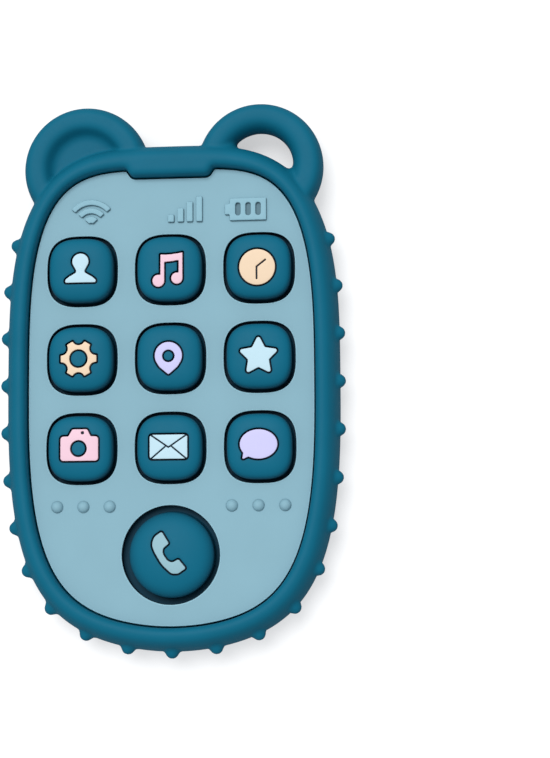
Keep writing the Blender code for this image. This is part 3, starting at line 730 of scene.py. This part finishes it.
class Piece:
    """Collects the rings, bands and caps of one piece.

    tone is kept per point: above zero it is painted shade that darkens the material,
    below zero a painted highlight that pales it.
    """

    def __init__(self):
        self.points, self.tones, self.faces, self.count = [], [], [], 0

    def ring(self, xy, z, tone=0.0):
        xy = np.asarray(xy, float)
        z = np.broadcast_to(np.asarray(z, float), len(xy))
        self.points.append(np.column_stack([xy, z]))
        self.tones.append(np.full(len(xy), float(tone)))
        self.count += len(xy)
        return np.arange(self.count - len(xy), self.count)

    def roll(self, loop, surface, radius, angles, tone=0.0, tone_slope=0.0):
        """Rings round an edge under a surface; a negative radius rolls to the right."""
        out = turned(loop)
        rings = []
        for angle in angles:
            xy = loop - out * radius * (1 - math.cos(angle))
            z = surface(xy[:, 0], xy[:, 1]) - abs(radius) * (1 - math.sin(angle))
            rings.append(self.ring(xy, z, tone + tone_slope * math.sin(angle)))
        return rings

    def band(self, rings):
        for low, high in zip(rings, rings[1:]):
            self.faces += np.stack([low, np.roll(low, -1), np.roll(high, -1), high], 1).tolist()

    def cap(self, loops, surface, spacing=None, up=True, tone=0.0):
        """Fills the plane region inside an odd number of the loops."""
        ids = np.concatenate(loops)
        plan = np.concatenate(self.points)[:, :2]
        # Every second point is set off a hair, so that no three lie in one line
        outlines, edges, start = [], [], 0
        for loop in loops:
            count = len(loop)
            hair = 4e-5 * (np.arange(count) % 2)[:, None]
            outline = plan[loop] + turned(plan[loop]) * hair
            outlines.append(outline.astype(np.float32).astype(float))
            edges += [(start + i, start + (i + 1) % count) for i in range(count)]
            start += count
        xy = np.concatenate(outlines)
        if spacing:
            xy = np.vstack([xy, fill_points(outlines, spacing)])
        found = delaunay_2d_cdt([Vector(point) for point in xy], edges, [], 0, 1e-8, True)
        coords, triangles, origin = found[0], found[2], found[3]
        place, extra = [], []
        for point, sources in zip(coords, origin):
            source = [i for i in sources if i < len(ids)]
            if source:
                place.append(int(ids[source[0]]))
            else:
                place.append(self.count + len(extra))
                extra.append((point.x, point.y))
        if extra:
            extra = np.array(extra)
            self.ring(extra, surface(extra[:, 0], extra[:, 1]), tone)
        flat = np.array([(point.x, point.y) for point in coords])
        faces = np.array([list(face) for face in triangles if len(face) == 3])
        middle = flat[faces].mean(1)
        faces = faces[inside_loops(outlines, middle[:, 0], middle[:, 1])]
        u = flat[faces[:, 1]] - flat[faces[:, 0]]
        v = flat[faces[:, 2]] - flat[faces[:, 0]]
        area = u[:, 0] * v[:, 1] - u[:, 1] * v[:, 0]
        wrong = (area < 0) == up
        faces[wrong] = faces[wrong][:, ::-1]
        self.faces += np.array(place)[faces].tolist()

    def make(self, name):
        mesh = bpy.data.meshes.new(name)
        mesh.from_pydata([tuple(v) for v in np.concatenate(self.points) * MM], [],
                         [tuple(face) for face in self.faces])
        mesh.validate()
        mesh.update()
        obj = link_object(name, mesh)
        mesh.shade_smooth()
        tone = mesh.attributes.new("tone", "FLOAT", "POINT")
        tone.data.foreach_set("value", np.concatenate(self.tones).astype(np.float32))
        mesh.set_sharp_from_angle(angle=math.radians(SHARP_ANGLE))
        return obj

    def make_on_key(self, kind, key):
        """Moves a piece made round the origin to its key, and makes it."""
        x, y = CENTRE[key]
        x += CALL_SHIFT if key == "call" else 0.0
        for block in self.points:
            block += (x, y, 0.0)
        return self.make(kind + "_" + key + "_shape")


# ---------------------------------------------------------------------------
# Face panel
# ---------------------------------------------------------------------------

EDGE_HIGHLIGHT_TONE = -0.8            # painted highlight on the sheet's rounded edges

# Raised marks along the panel's top, standing on one base line
MARK_BASE = GRID_Y + 36.9
MARK_HEIGHT, MARK_ROLL = 0.8, 0.22
WAVE_CENTRE = (-21.6, MARK_BASE - 0.4)
WAVES = ((7.0, 5.6, 50), (4.7, 3.3, 49), (2.4, 0.7, 47))    # outer, inner radius, half angle
BARS = ((0.25, 2.0), (2.85, 3.7), (5.35, 5.4), (7.95, 6.8))     # x, height
BAR_HALF = 0.83
BATTERY_LEFT, BATTERY_RIGHT, BATTERY_HEIGHT = 16.2, 26.1, 6.05
SLOTS_X, SLOT_HALF, SLOT_ROUND = (18.45, 21.2, 23.9), 0.7, 0.6

# Small domes in a row across the panel's lower part
DOMES_X, DOMES_Y = (16.4, 23.5, 30.6), GRID_Y - 39.5
DOME_R, DOME_SINK, DOME_TOP = 1.65, 0.35, 1.3
DOME_START, DOME_SWEEP = 12, 74     # degrees up the sphere


def mark_shapes():
    """Arcs, bars and a battery, each as its solid outlines and the ones cut out."""
    shapes = []
    for outer, inner, spread in WAVES:
        ring = arc(WAVE_CENTRE, outer, 90 - spread, 90 + spread, 24)
        ring += arc(WAVE_CENTRE, inner, 90 + spread, 90 - spread, 24)
        shapes.append(([ring], []))
    for x, tall in BARS:
        bar = rectangle(x - BAR_HALF, MARK_BASE, x + BAR_HALF, MARK_BASE + tall)
        shapes.append(([bar], []))
    case = rectangle(BATTERY_LEFT, MARK_BASE, BATTERY_RIGHT, MARK_BASE + BATTERY_HEIGHT)
    nub = rectangle(BATTERY_LEFT - 1.3, MARK_BASE + 1.65, BATTERY_LEFT + 0.3, MARK_BASE + 4.5)
    slots = [soften(rectangle(x - SLOT_HALF, MARK_BASE + 1.35, x + SLOT_HALF, MARK_BASE + 4.85),
                    [SLOT_ROUND] * 4) for x in SLOTS_X]
    shapes.append(([case, nub], slots))
    return shapes


def mark_field(solids, cuts, step=0.08):
    points = np.vstack(solids)
    low = points.min(0) - 1.2
    high = points.max(0) + 1.2
    field = Field.of(solids, low, high, step)
    if cuts:
        field.value = np.maximum(field.value, -Field.of(cuts, low, high, step).value)
    return field.blurred(4)


def add_mark(piece, solids, cuts):
    """Raises one mark and returns the loops where it meets the panel's face."""
    top = level(PANEL_FACE + MARK_HEIGHT)
    feet, tops = [], []
    for loop in region(mark_field(solids, cuts), 0.0, 0.2):
        # The foot ring is painted shade; the rounding runs from painted shade at its base to a
        # painted highlight along its top edge
        rings = [piece.ring(loop, PANEL_FACE, 0.5)]
        if area_of(loop) > 0:
            # A strip outside an outer loop keeps the painted shade at its foot narrow
            rings.insert(0, piece.ring(loop + turned(loop) * 0.2, PANEL_FACE))
        rings += piece.roll(loop, top, MARK_ROLL, quarter(3), tone=0.12, tone_slope=-0.42)
        piece.band(rings)
        feet.append(rings[0])
        tops.append(rings[-1])
    piece.cap(tops, top)
    return feet


def add_dome(piece, centre):
    foot = DOME_R * math.cos(math.radians(DOME_START)) + 0.17
    rings = [piece.ring(circle(centre, foot, 32), PANEL_FACE)]
    # The dome's foot and lower rings carry painted shade that fades up the dome
    for k in range(7):
        angle = math.radians(DOME_START + DOME_SWEEP * k / 6)
        rings.append(piece.ring(circle(centre, DOME_R * math.cos(angle), 32),
                                PANEL_FACE - DOME_SINK + DOME_R * math.sin(angle),
                                max(0.0, 0.24 - 0.12 * k)))
    piece.band(rings)
    piece.cap([rings[-1]], level(PANEL_FACE + DOME_TOP))
    return rings[0]


def build_panel():
    piece = Piece()
    top = level(PANEL_FACE)
    margin = PANEL_ROLL + PANEL_MARGIN
    line = PANEL_EDGE_LINE
    # The outer wall carries painted shade in the gap to the body, the rounded edge a painted
    # highlight
    rings = [piece.ring(line, PANEL_BACK, 1.0), piece.ring(line, PANEL_WALL_TOP, 1.0)]
    rings += piece.roll(line, top, PANEL_ROLL, quarter(4), tone=EDGE_HIGHLIGHT_TONE)
    rings.append(piece.ring(line - turned(line) * margin, PANEL_FACE))
    piece.band(rings)
    back, face = [rings[0]], [rings[-1]]
    for key, centre in CENTRE.items():
        spec = key_spec(key)
        hole = rounded_square(spec["hole"], spec["power"], KEY_SIDES, centre)
        rings = [piece.ring(hole + turned(hole) * margin, PANEL_FACE)]
        # Round each hole the rounded edge carries a painted highlight and the wall painted shade
        # in the key's gap
        rings += piece.roll(hole, top, -PANEL_ROLL, reversed(quarter(4)), tone=EDGE_HIGHLIGHT_TONE)
        rings.append(piece.ring(hole, PANEL_WALL_TOP, 1.0))
        rings.append(piece.ring(hole, PANEL_BACK, 1.0))
        piece.band(rings)
        face.append(rings[0])
        back.append(rings[-1])
    for solids, cuts in mark_shapes():
        face += add_mark(piece, solids, cuts)
    for side in (1, -1):
        for x in DOMES_X:
            face.append(add_dome(piece, (side * x, DOMES_Y)))
    piece.cap(face, top, spacing=3.0)
    piece.cap(back, level(PANEL_BACK), up=False)
    return piece.make("panel_sheet")


# ---------------------------------------------------------------------------
# Icon outlines, as x, y points from the key's middle
# ---------------------------------------------------------------------------


def outline_contact():
    """Head and shoulders, slightly right of the middle."""
    right = [(4.15, -3.55), (4.15, -2.8), (3.1, -1.98), (0.9, -0.72)]
    head = arc((0.0, 2.1), 2.2, -16, 196, 48)
    left = [(-x, y) for x, y in reversed(right)]
    radii = [0.35, 0.7, 1.2, 0.6]
    bust = soften(right + head + left, radii + [0.0] * len(head) + radii[::-1])
    return [[(x + 0.22, y) for x, y in bust]]


def outline_music():
    beam = [(-2.05, 3.5), (-2.05, -3.5), (-1.05, -3.5), (-1.05, 1.5), (0.9, 1.62), (2.85, 1.95),
            (2.85, -2.9), (3.85, -2.9), (3.85, 4.0), (2.4, 3.72), (0.9, 3.52), (-0.6, 3.44)]
    return [circle((-2.65, -3.55), 1.6, 40), circle((2.35, -2.95), 1.5, 40), beam]


def outline_clock():
    return [circle((-0.12, -0.4), 4.78, 120)]


def outline_settings():
    """Wheel of six round teeth."""
    reach, tooth_radius = 5.42, 1.8
    points = []
    for tooth in range(6):
        axis = math.radians(60 * tooth + 30)
        for k in range(17):
            angle = math.radians(-64 + 128 * k / 16)
            along = reach - tooth_radius * math.cos(angle)
            across = tooth_radius * math.sin(angle)
            points.append((along * math.cos(axis) - across * math.sin(axis) - 0.2,
                           along * math.sin(axis) + across * math.cos(axis) - 0.1))
    return [points]


def outline_place():
    """Drop-shaped pin with its tip down."""
    head = arc((0.05, 0.3), 3.65, -28, 208, 48)
    tip = [(-2.38, -2.68), (0.05, -4.75), (2.48, -2.68)]
    return [soften(head + tip, [0.0] * len(head) + [2.4, 0.35, 2.4])]


def outline_star():
    points = []
    for k in range(10):
        radius = 2.9 if k % 2 else 5.7
        angle = math.radians(90 + 36 * k)
        points.append((0.12 + radius * math.cos(angle), -0.27 + radius * math.sin(angle)))
    return [soften(points, [0.5, 0.25] * 5)]


def outline_camera():
    points = [(-5.0, -3.4), (5.15, -3.4), (5.15, 3.1), (3.15, 3.1), (2.2, 5.0),
              (-1.8, 5.0), (-2.85, 3.1), (-5.0, 3.1)]
    return [soften(points, [0.8, 0.8, 0.8, 0.3, 0.6, 0.6, 0.3, 0.8])]


def outline_letter():
    return [soften(rectangle(-5.0, -3.15, 5.05, 3.25), [0.7] * 4)]


def outline_speech():
    """Oval with a pointed tail at its lower left."""
    points = []
    for k in range(73):
        angle = math.radians(-123 + 339 * k / 72)
        points.append((4.98 * math.cos(angle), 0.45 + 3.88 * math.sin(angle)))
    points.append((-4.4, -3.6))
    return [soften(points, [0.0] * 73 + [0.25])]


def outline_call():
    """Handset, leaning, with its hollow side towards the upper right."""
    outer = [(-4.1, 4.75), (-4.8, 2.8), (-4.15, 0.9), (-2.1, -2.55), (0.5, -5.0), (2.2, -4.95)]
    inner = [(4.25, -3.55), (2.35, -1.2), (0.85, -2.0), (-0.45, -1.75),
             (-1.85, 0.25), (-1.8, 1.65), (-0.2, 2.95), (-2.2, 6.1)]
    radii = [2.0, 2.5, 8.0, 8.0, 1.8, 1.4, 0.35, 0.4, 1.0, 2.0, 2.0, 1.2, 0.35, 0.45]
    return [soften(outer + inner, radii)]


OUTLINES = {
    "contact": outline_contact, "music": outline_music, "clock": outline_clock,
    "settings": outline_settings, "place": outline_place, "star": outline_star,
    "camera": outline_camera, "letter": outline_letter,
    "speech": outline_speech, "call": outline_call,
}
# Round windows through an icon: centre, radius
WINDOWS = {"settings": ((-0.2, -0.1), 2.5), "place": ((0.05, 0.2), 1.68),
           "camera": ((-0.1, -0.15), 2.25)}
CLOCK_GROOVE = 0.48
LETTER_GROOVE = CLOCK_GROOVE * 0.85
GROOVES = {
    "clock": [line_box((-0.25, -0.22), (-0.25, -3.7), CLOCK_GROOVE),
              line_box((-0.37, -0.4), (2.25, 1.62), CLOCK_GROOVE)],
    "letter": [line_box((-5.4, 3.65), (0.12, -0.15), LETTER_GROOVE),
               line_box((5.5, 3.65), (-0.02, -0.15), LETTER_GROOVE),
               line_box((-5.3, -3.65), (-0.75, 0.15), LETTER_GROOVE),
               line_box((5.4, -3.65), (0.85, 0.15), LETTER_GROOVE)],
    "camera": [circle((0.95, 4.05), 0.45, 24)],
}
ICON_LOW, ICON_HIGH, ICON_STEP = (-7.4, -7.4), (7.4, 7.4), 0.08


def icon_field(key, grooved=False):
    field = Field.of(OUTLINES[key](), ICON_LOW, ICON_HIGH, ICON_STEP)
    if key in WINDOWS:
        centre, radius = WINDOWS[key]
        columns, rows = field.value.shape
        x, y = np.meshgrid(ICON_LOW[0] + ICON_STEP * np.arange(columns),
                           ICON_LOW[1] + ICON_STEP * np.arange(rows), indexing="ij")
        field.value = np.maximum(field.value, radius - np.hypot(x - centre[0], y - centre[1]))
    if grooved and key in GROOVES:
        field = field.blurred(2)
        cut = Field.of(GROOVES[key], ICON_LOW, ICON_HIGH, ICON_STEP)
        field.value = np.maximum(field.value, -cut.value)
        return field.blurred(1)
    return field.blurred(3)


# ---------------------------------------------------------------------------
# Keys, inlays and webs
# ---------------------------------------------------------------------------

INLAY_GAP = 0.46            # between an inlay and its socket in the key
SOCKET_ROLL, SOCKET_DEPTH = 0.12, 1.35
INLAY_ROLL, INLAY_DEPTH = 0.13, 1.3
GROOVE_DEPTH = 0.5
WEB_WALL, WEB_THINNING, WEB_STEPS = 0.9, 0.16, 8


def crown_height(spec):
    """The pillow-shaped top of a key: its height above a point in the plane."""
    power, stem, top = spec["power"], spec["stem"], spec["crown"]
    drop, dome = spec["drop"], spec["dome_power"]

    def height(x, y):
        radius = (np.abs(x) ** power + np.abs(y) ** power) ** (1 / power) / stem
        return top - drop + drop * (1 - np.clip(radius, 0, 1) ** dome) ** (1 / dome)

    return height


def key_rings(piece, spec):
    """Rings from the hollow's roof down, round the flange and up onto the crown."""
    roof = spec["crown"] - ROOF_DEPTH
    hollow, flange, stem = spec["hollow"], spec["flange"], spec["stem"]
    dark, drop, dome = spec["flange_shade"], spec["drop"], spec["dome_power"]
    # Half width, height, tone; the tone is painted shade on the flange and stem in the key's gap,
    # fading up the crown's shoulders
    stations = [
        (hollow - 0.8, roof, 0.0),
        (hollow - 0.23, roof - 0.23, 0.0),
        (hollow, roof - 0.8, 0.0),
        (hollow, FLANGE_LOW, 0.0),
        (flange, FLANGE_LOW, dark),
        (flange, FLANGE_HIGH, dark),
        (stem + 0.3, FLANGE_HIGH, dark),
        (stem, FLANGE_HIGH + 0.3, 0.75),
    ]
    for k, angle in enumerate(quarter(20)):
        share = math.cos(angle) ** (2 / dome)
        if share < spec["crown_start"]:
            break
        stations.append((stem * share, spec["crown"] - drop + drop * math.sin(angle) ** (2 / dome),
                         0.72 * max(0.0, 1 - k / spec["fade"]) ** 1.6))
    return [piece.ring(rounded_square(half, spec["power"], KEY_SIDES), z, tone)
            for half, z, tone in stations]


def build_key(key):
    spec = key_spec(key)
    height = crown_height(spec)
    piece = Piece()
    rings = key_rings(piece, spec)
    piece.band(rings)
    piece.cap([rings[0]], level(spec["crown"] - ROOF_DEPTH), spacing=2.5, up=False)
    floor_z = spec["crown"] - SOCKET_DEPTH
    face, bottom = [rings[-1]], []
    for loop in region(icon_field(key), INLAY_GAP, 0.16):
        # The socket's walls and floor are painted shade, a dark outline in the gap round the inlay
        ring = piece.roll(loop, height, -SOCKET_ROLL, reversed(quarter(3)),
                          tone=1.0, tone_slope=-0.9)
        ring.append(piece.ring(loop, floor_z, tone=1.0))
        piece.band(ring)
        face.append(ring[0])
        bottom.append(ring[-1])
    piece.cap(face, height, spacing=0.75)
    piece.cap(bottom, level(floor_z), spacing=1.5, tone=1.0)
    return piece.make_on_key("key", key)


def build_inlay(key):
    spec = key_spec(key)
    height = crown_height(spec)
    piece = Piece()
    low = spec["crown"] - INLAY_DEPTH
    tops, feet = [], []
    for loop in region(icon_field(key, True), 0.0, 0.14):
        # The inlay's foot and underside carry painted shade in the socket's gap
        ring = [piece.ring(loop, low, tone=0.6)]
        ring += piece.roll(loop, height, INLAY_ROLL, quarter(3))
        piece.band(ring)
        tops.append(ring[-1])
        feet.append(ring[0])
    piece.cap(tops, height, spacing=0.75)
    piece.cap(feet, level(low), up=False, tone=0.6)
    if key in GROOVES:
        add_groove_shade_bed(piece, key, height, low - 0.02)
    return piece.make_on_key("inlay", key)


def add_groove_shade_bed(piece, key, height, low):
    """Block painted dark as shade inside a grooved inlay, seen at the bottom of its grooves."""
    walls, sheet = [], []
    for loop in region(icon_field(key), -0.04, 0.2):
        z = height(loop[:, 0], loop[:, 1]) - GROOVE_DEPTH
        ring = [piece.ring(loop, low, tone=1.0), piece.ring(loop, z, tone=1.0)]
        piece.band(ring)
        walls.append(ring[0])
        sheet.append(ring[-1])
    piece.cap(sheet, lambda x, y: height(x, y) - GROOVE_DEPTH, spacing=1.2, tone=1.0)
    piece.cap(walls, level(low), up=False, tone=1.0)


def build_web(key):
    """Cone-shaped flexing ring, thinner towards its middle."""
    spec = key_spec(key)
    foot, head = spec["well"] - 0.3, spec["stem"] + 0.35
    piece = Piece()
    rings = []
    # Up the outer side, then down the inner side
    up = range(WEB_STEPS + 1)
    for inset, side, steps in ((0.0, -1, up), (WEB_WALL, 1, reversed(up))):
        for k in steps:
            share = k / WEB_STEPS
            thin = side * WEB_THINNING * math.sin(math.pi * share)
            half = foot + (head - foot) * share - inset + thin
            rings.append(piece.ring(rounded_square(half, spec["power"], 96, CENTRE[key]),
                                    WEB_LOW + (WEB_HIGH - WEB_LOW) * share))
    piece.band(rings + rings[:1])
    return piece.make("web_" + key + "_shape")


# ---------------------------------------------------------------------------
# Materials
# ---------------------------------------------------------------------------


def srgb(*channels):
    """Linear colour from sRGB channels of 0 to 255."""
    shares = [channel / 255 for channel in channels]
    return tuple(v / 12.92 if v <= 0.04045 else ((v + 0.055) / 1.055) ** 2.4
                 for v in shares) + (1.0,)


def feed(node, inputs):
    """Fills a node's inputs: a socket is linked, anything else is set as a value."""
    for name, value in inputs.items():
        if isinstance(value, bpy.types.NodeSocket):
            node.id_data.links.new(value, node.inputs[name])
        else:
            node.inputs[name].default_value = value


def add_node(tree, kind, inputs, **settings):
    node = tree.nodes.new("ShaderNode" + kind)
    for name, value in settings.items():
        setattr(node, name, value)
    feed(node, inputs)
    return node


def new_material(name):
    material = bpy.data.materials.new(name)
    material.use_nodes = True
    return material, material.node_tree, material.node_tree.nodes["Principled BSDF"]


# Navy that the painted shade in gaps and creases mixes towards
SHADE_NAVY = srgb(8, 28, 44)
TEAL = srgb(6, 98, 124)


def silicone(name, colour, roughness, specular, mottling=0.04):
    """Moulded silicone: even colour, faint clouding, fine satin grain, painted shade in creases
    and gaps, painted highlight on edges.
    """
    material, tree, shader = new_material(name)
    where = add_node(tree, "TexCoord", {}).outputs["Object"]
    cloud = add_node(tree, "TexNoise", {"Scale": 70.0, "Detail": 4.0, "Vector": where})
    shade = add_node(tree, "MapRange", {
        "From Min": 0.3, "From Max": 0.7, "To Min": 1.0 - mottling, "To Max": 1.0 + mottling,
        "Value": cloud.outputs["Fac"]})
    tint = add_node(tree, "Mix", {"Factor": 1.0, "A": colour, "B": shade.outputs["Result"]},
                    data_type="RGBA", blend_type="MULTIPLY")

    # Tone above zero is painted shade: creases, gaps and recesses darken towards navy
    tone = add_node(tree, "Attribute", {}, attribute_name="tone").outputs["Fac"]
    painted_shade = add_node(tree, "Mix", {"Factor": tone, "A": tint.outputs["Result"], "B": SHADE_NAVY},
                      data_type="RGBA")
    # Tone below zero is a painted highlight: the colour pales on rounded edges
    thin = add_node(tree, "Math", {0: tone, 1: -1.0}, operation="MULTIPLY", use_clamp=True)
    highlight_colour = tuple(min(1.0, channel * 1.3) for channel in colour[:3]) + (1.0,)
    highlighted = add_node(tree, "Mix", {"Factor": thin.outputs["Value"],
                                  "A": painted_shade.outputs["Result"], "B": highlight_colour},
                    data_type="RGBA")

    grain = add_node(tree, "TexNoise", {"Scale": 1500.0, "Detail": 3.0, "Vector": where})
    rough = add_node(tree, "MapRange", {"To Min": roughness - 0.06, "To Max": roughness + 0.06,
                                        "Value": grain.outputs["Fac"]})
    relief = add_node(tree, "Bump", {"Strength": 0.05, "Distance": 0.00005,
                                     "Height": grain.outputs["Fac"]})
    feed(shader, {"Base Color": highlighted.outputs["Result"], "Roughness": rough.outputs["Result"],
                  "Normal": relief.outputs["Normal"], "Specular IOR Level": specular,
                  "IOR": 1.42})
    return material


MATERIAL = {
    "body_silicone": silicone("Teal body silicone", TEAL, roughness=0.58, specular=0.16),
    "key_silicone": silicone("Teal key silicone", TEAL, roughness=0.58, specular=0.16),
    "web_silicone": silicone("Teal web silicone", srgb(8, 84, 108),
                             roughness=0.6, specular=0.2),
    "panel_silicone": silicone("Grey blue panel silicone", srgb(133, 172, 186),
                               roughness=0.6, specular=0.2, mottling=0.02),
}
for slot_name, material_name, inlay_colour in (
        ("inlay_ice", "Ice blue inlay", srgb(188, 217, 229)),
        ("inlay_pink", "Pink inlay", srgb(233, 196, 210)),
        ("inlay_peach", "Peach inlay", srgb(232, 206, 177)),
        ("inlay_lavender", "Lavender inlay", srgb(199, 196, 235)),
        ("inlay_frost", "Frost inlay", srgb(144, 181, 192))):
    MATERIAL[slot_name] = silicone(material_name, inlay_colour,
                                   roughness=0.6, specular=0.25, mottling=0.015)
INLAY_SLOT = {
    "contact": "inlay_ice", "music": "inlay_pink", "clock": "inlay_peach",
    "settings": "inlay_peach", "place": "inlay_lavender", "star": "inlay_ice",
    "camera": "inlay_pink", "letter": "inlay_ice", "speech": "inlay_lavender",
    "call": "inlay_frost",
}


def dress(obj, slot, body, node):
    """Gives a piece its material and its place in the frame."""
    obj.data.materials.clear()
    obj.data.materials.append(MATERIAL[slot])
    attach(obj, body)
    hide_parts(node)
    return obj


# ---------------------------------------------------------------------------
# Put together
# ---------------------------------------------------------------------------

dress(build_body(), "body_silicone", "root", "body_moulding")
dress(build_panel(), "panel_silicone", "root", "face_panel")
for key in KEYS:
    dress(build_key(key), "key_silicone", key + "_key", "key_" + key)
    dress(build_inlay(key), INLAY_SLOT[key], key + "_key", "inlay_" + key)
    web = dress(build_web(key), "web_silicone", "root", "web_" + key)
    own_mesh(web)

# ---------------------------------------------------------------------------
# Floor, light and camera, in metres
# ---------------------------------------------------------------------------


def floor_material():
    """Lit white paper: to the camera its shadows are pale and its open ground is white."""
    material, tree, shader = new_material("White sweep")
    noise = add_node(tree, "TexNoise", {"Scale": 8.0})
    paper = add_node(tree, "MapRange", {"To Min": 0.37, "To Max": 0.39,
                                        "Value": noise.outputs["Fac"]}).outputs["Result"]
    grey = add_node(tree, "CombineColor", {"Red": paper, "Green": paper, "Blue": paper})
    # Glow seen by the camera only; ambient occlusion dims it close to the pad as a painted contact
    # shadow
    path = add_node(tree, "LightPath", {})
    glow = add_node(tree, "Math", {1: 0.74}, operation="MULTIPLY")
    near = add_node(tree, "AmbientOcclusion", {"Distance": 0.009}, samples=8)
    contact_shadow = add_node(tree, "MapRange", {"To Min": 0.6, "Value": near.outputs["AO"]})
    seen = add_node(tree, "Math", {0: path.outputs["Is Camera Ray"],
                                   1: contact_shadow.outputs["Result"]}, operation="MULTIPLY")
    feed(glow, {0: seen.outputs["Value"]})
    feed(shader, {"Roughness": 0.9, "Specular IOR Level": 0.1,
                  "Base Color": grey.outputs["Color"],
                  "Emission Color": (0.98, 0.985, 1.0, 1.0),
                  "Emission Strength": glow.outputs["Value"]})
    return material


def build_floor():
    # Just below z = 0, clear of the body's back
    bpy.ops.mesh.primitive_plane_add(size=6.0, location=(0, 0, -0.00003))
    floor = bpy.context.object
    floor.name = "sweep_floor"
    floor.data.materials.append(floor_material())


def build_world():
    world = bpy.data.worlds.new("Studio")
    bpy.context.scene.world = world
    world.use_nodes = True
    feed(world.node_tree.nodes["Background"],
         {"Color": (0.93, 0.97, 1.0, 1.0), "Strength": 0.55})


def add_sun(name, toward, strength, spread):
    """A sun standing in the direction toward; spread is its angle in degrees."""
    lamp = bpy.data.lights.new(name, "SUN")
    lamp.energy = strength
    lamp.angle = math.radians(spread)
    lamp.color = (1, 1, 1)
    obj = link_object(name, lamp)
    obj.rotation_euler = Vector(toward).to_track_quat("Z", "Y").to_euler()


def build_camera():
    camera = bpy.data.cameras.new("Camera")
    camera.sensor_fit = "VERTICAL"
    camera.sensor_height = 36.0
    camera.lens = 87.86
    camera.clip_start = 0.01
    camera.clip_end = 20.0
    eye = bpy.data.objects.new("Camera", camera)
    # The camera's right, up and backward directions
    turn = Matrix(((0.99513, -0.00677, -0.09834),
                   (0.01678, 0.99471, 0.10136),
                   (0.09714, -0.10252, 0.98998))).transposed()
    place = (0.075884, GRID_Y * MM - 0.056478, 0.499623)
    eye.matrix_world = Matrix.Translation(place) @ turn.to_4x4()
    bpy.context.scene.collection.objects.link(eye)
    bpy.context.scene.camera = eye


build_floor()
build_world()
add_sun("key_light", toward=(-0.18, 0.41, 1.0), strength=2.25, spread=34)
build_camera()
bpy.context.scene.view_settings.view_transform = "Standard"
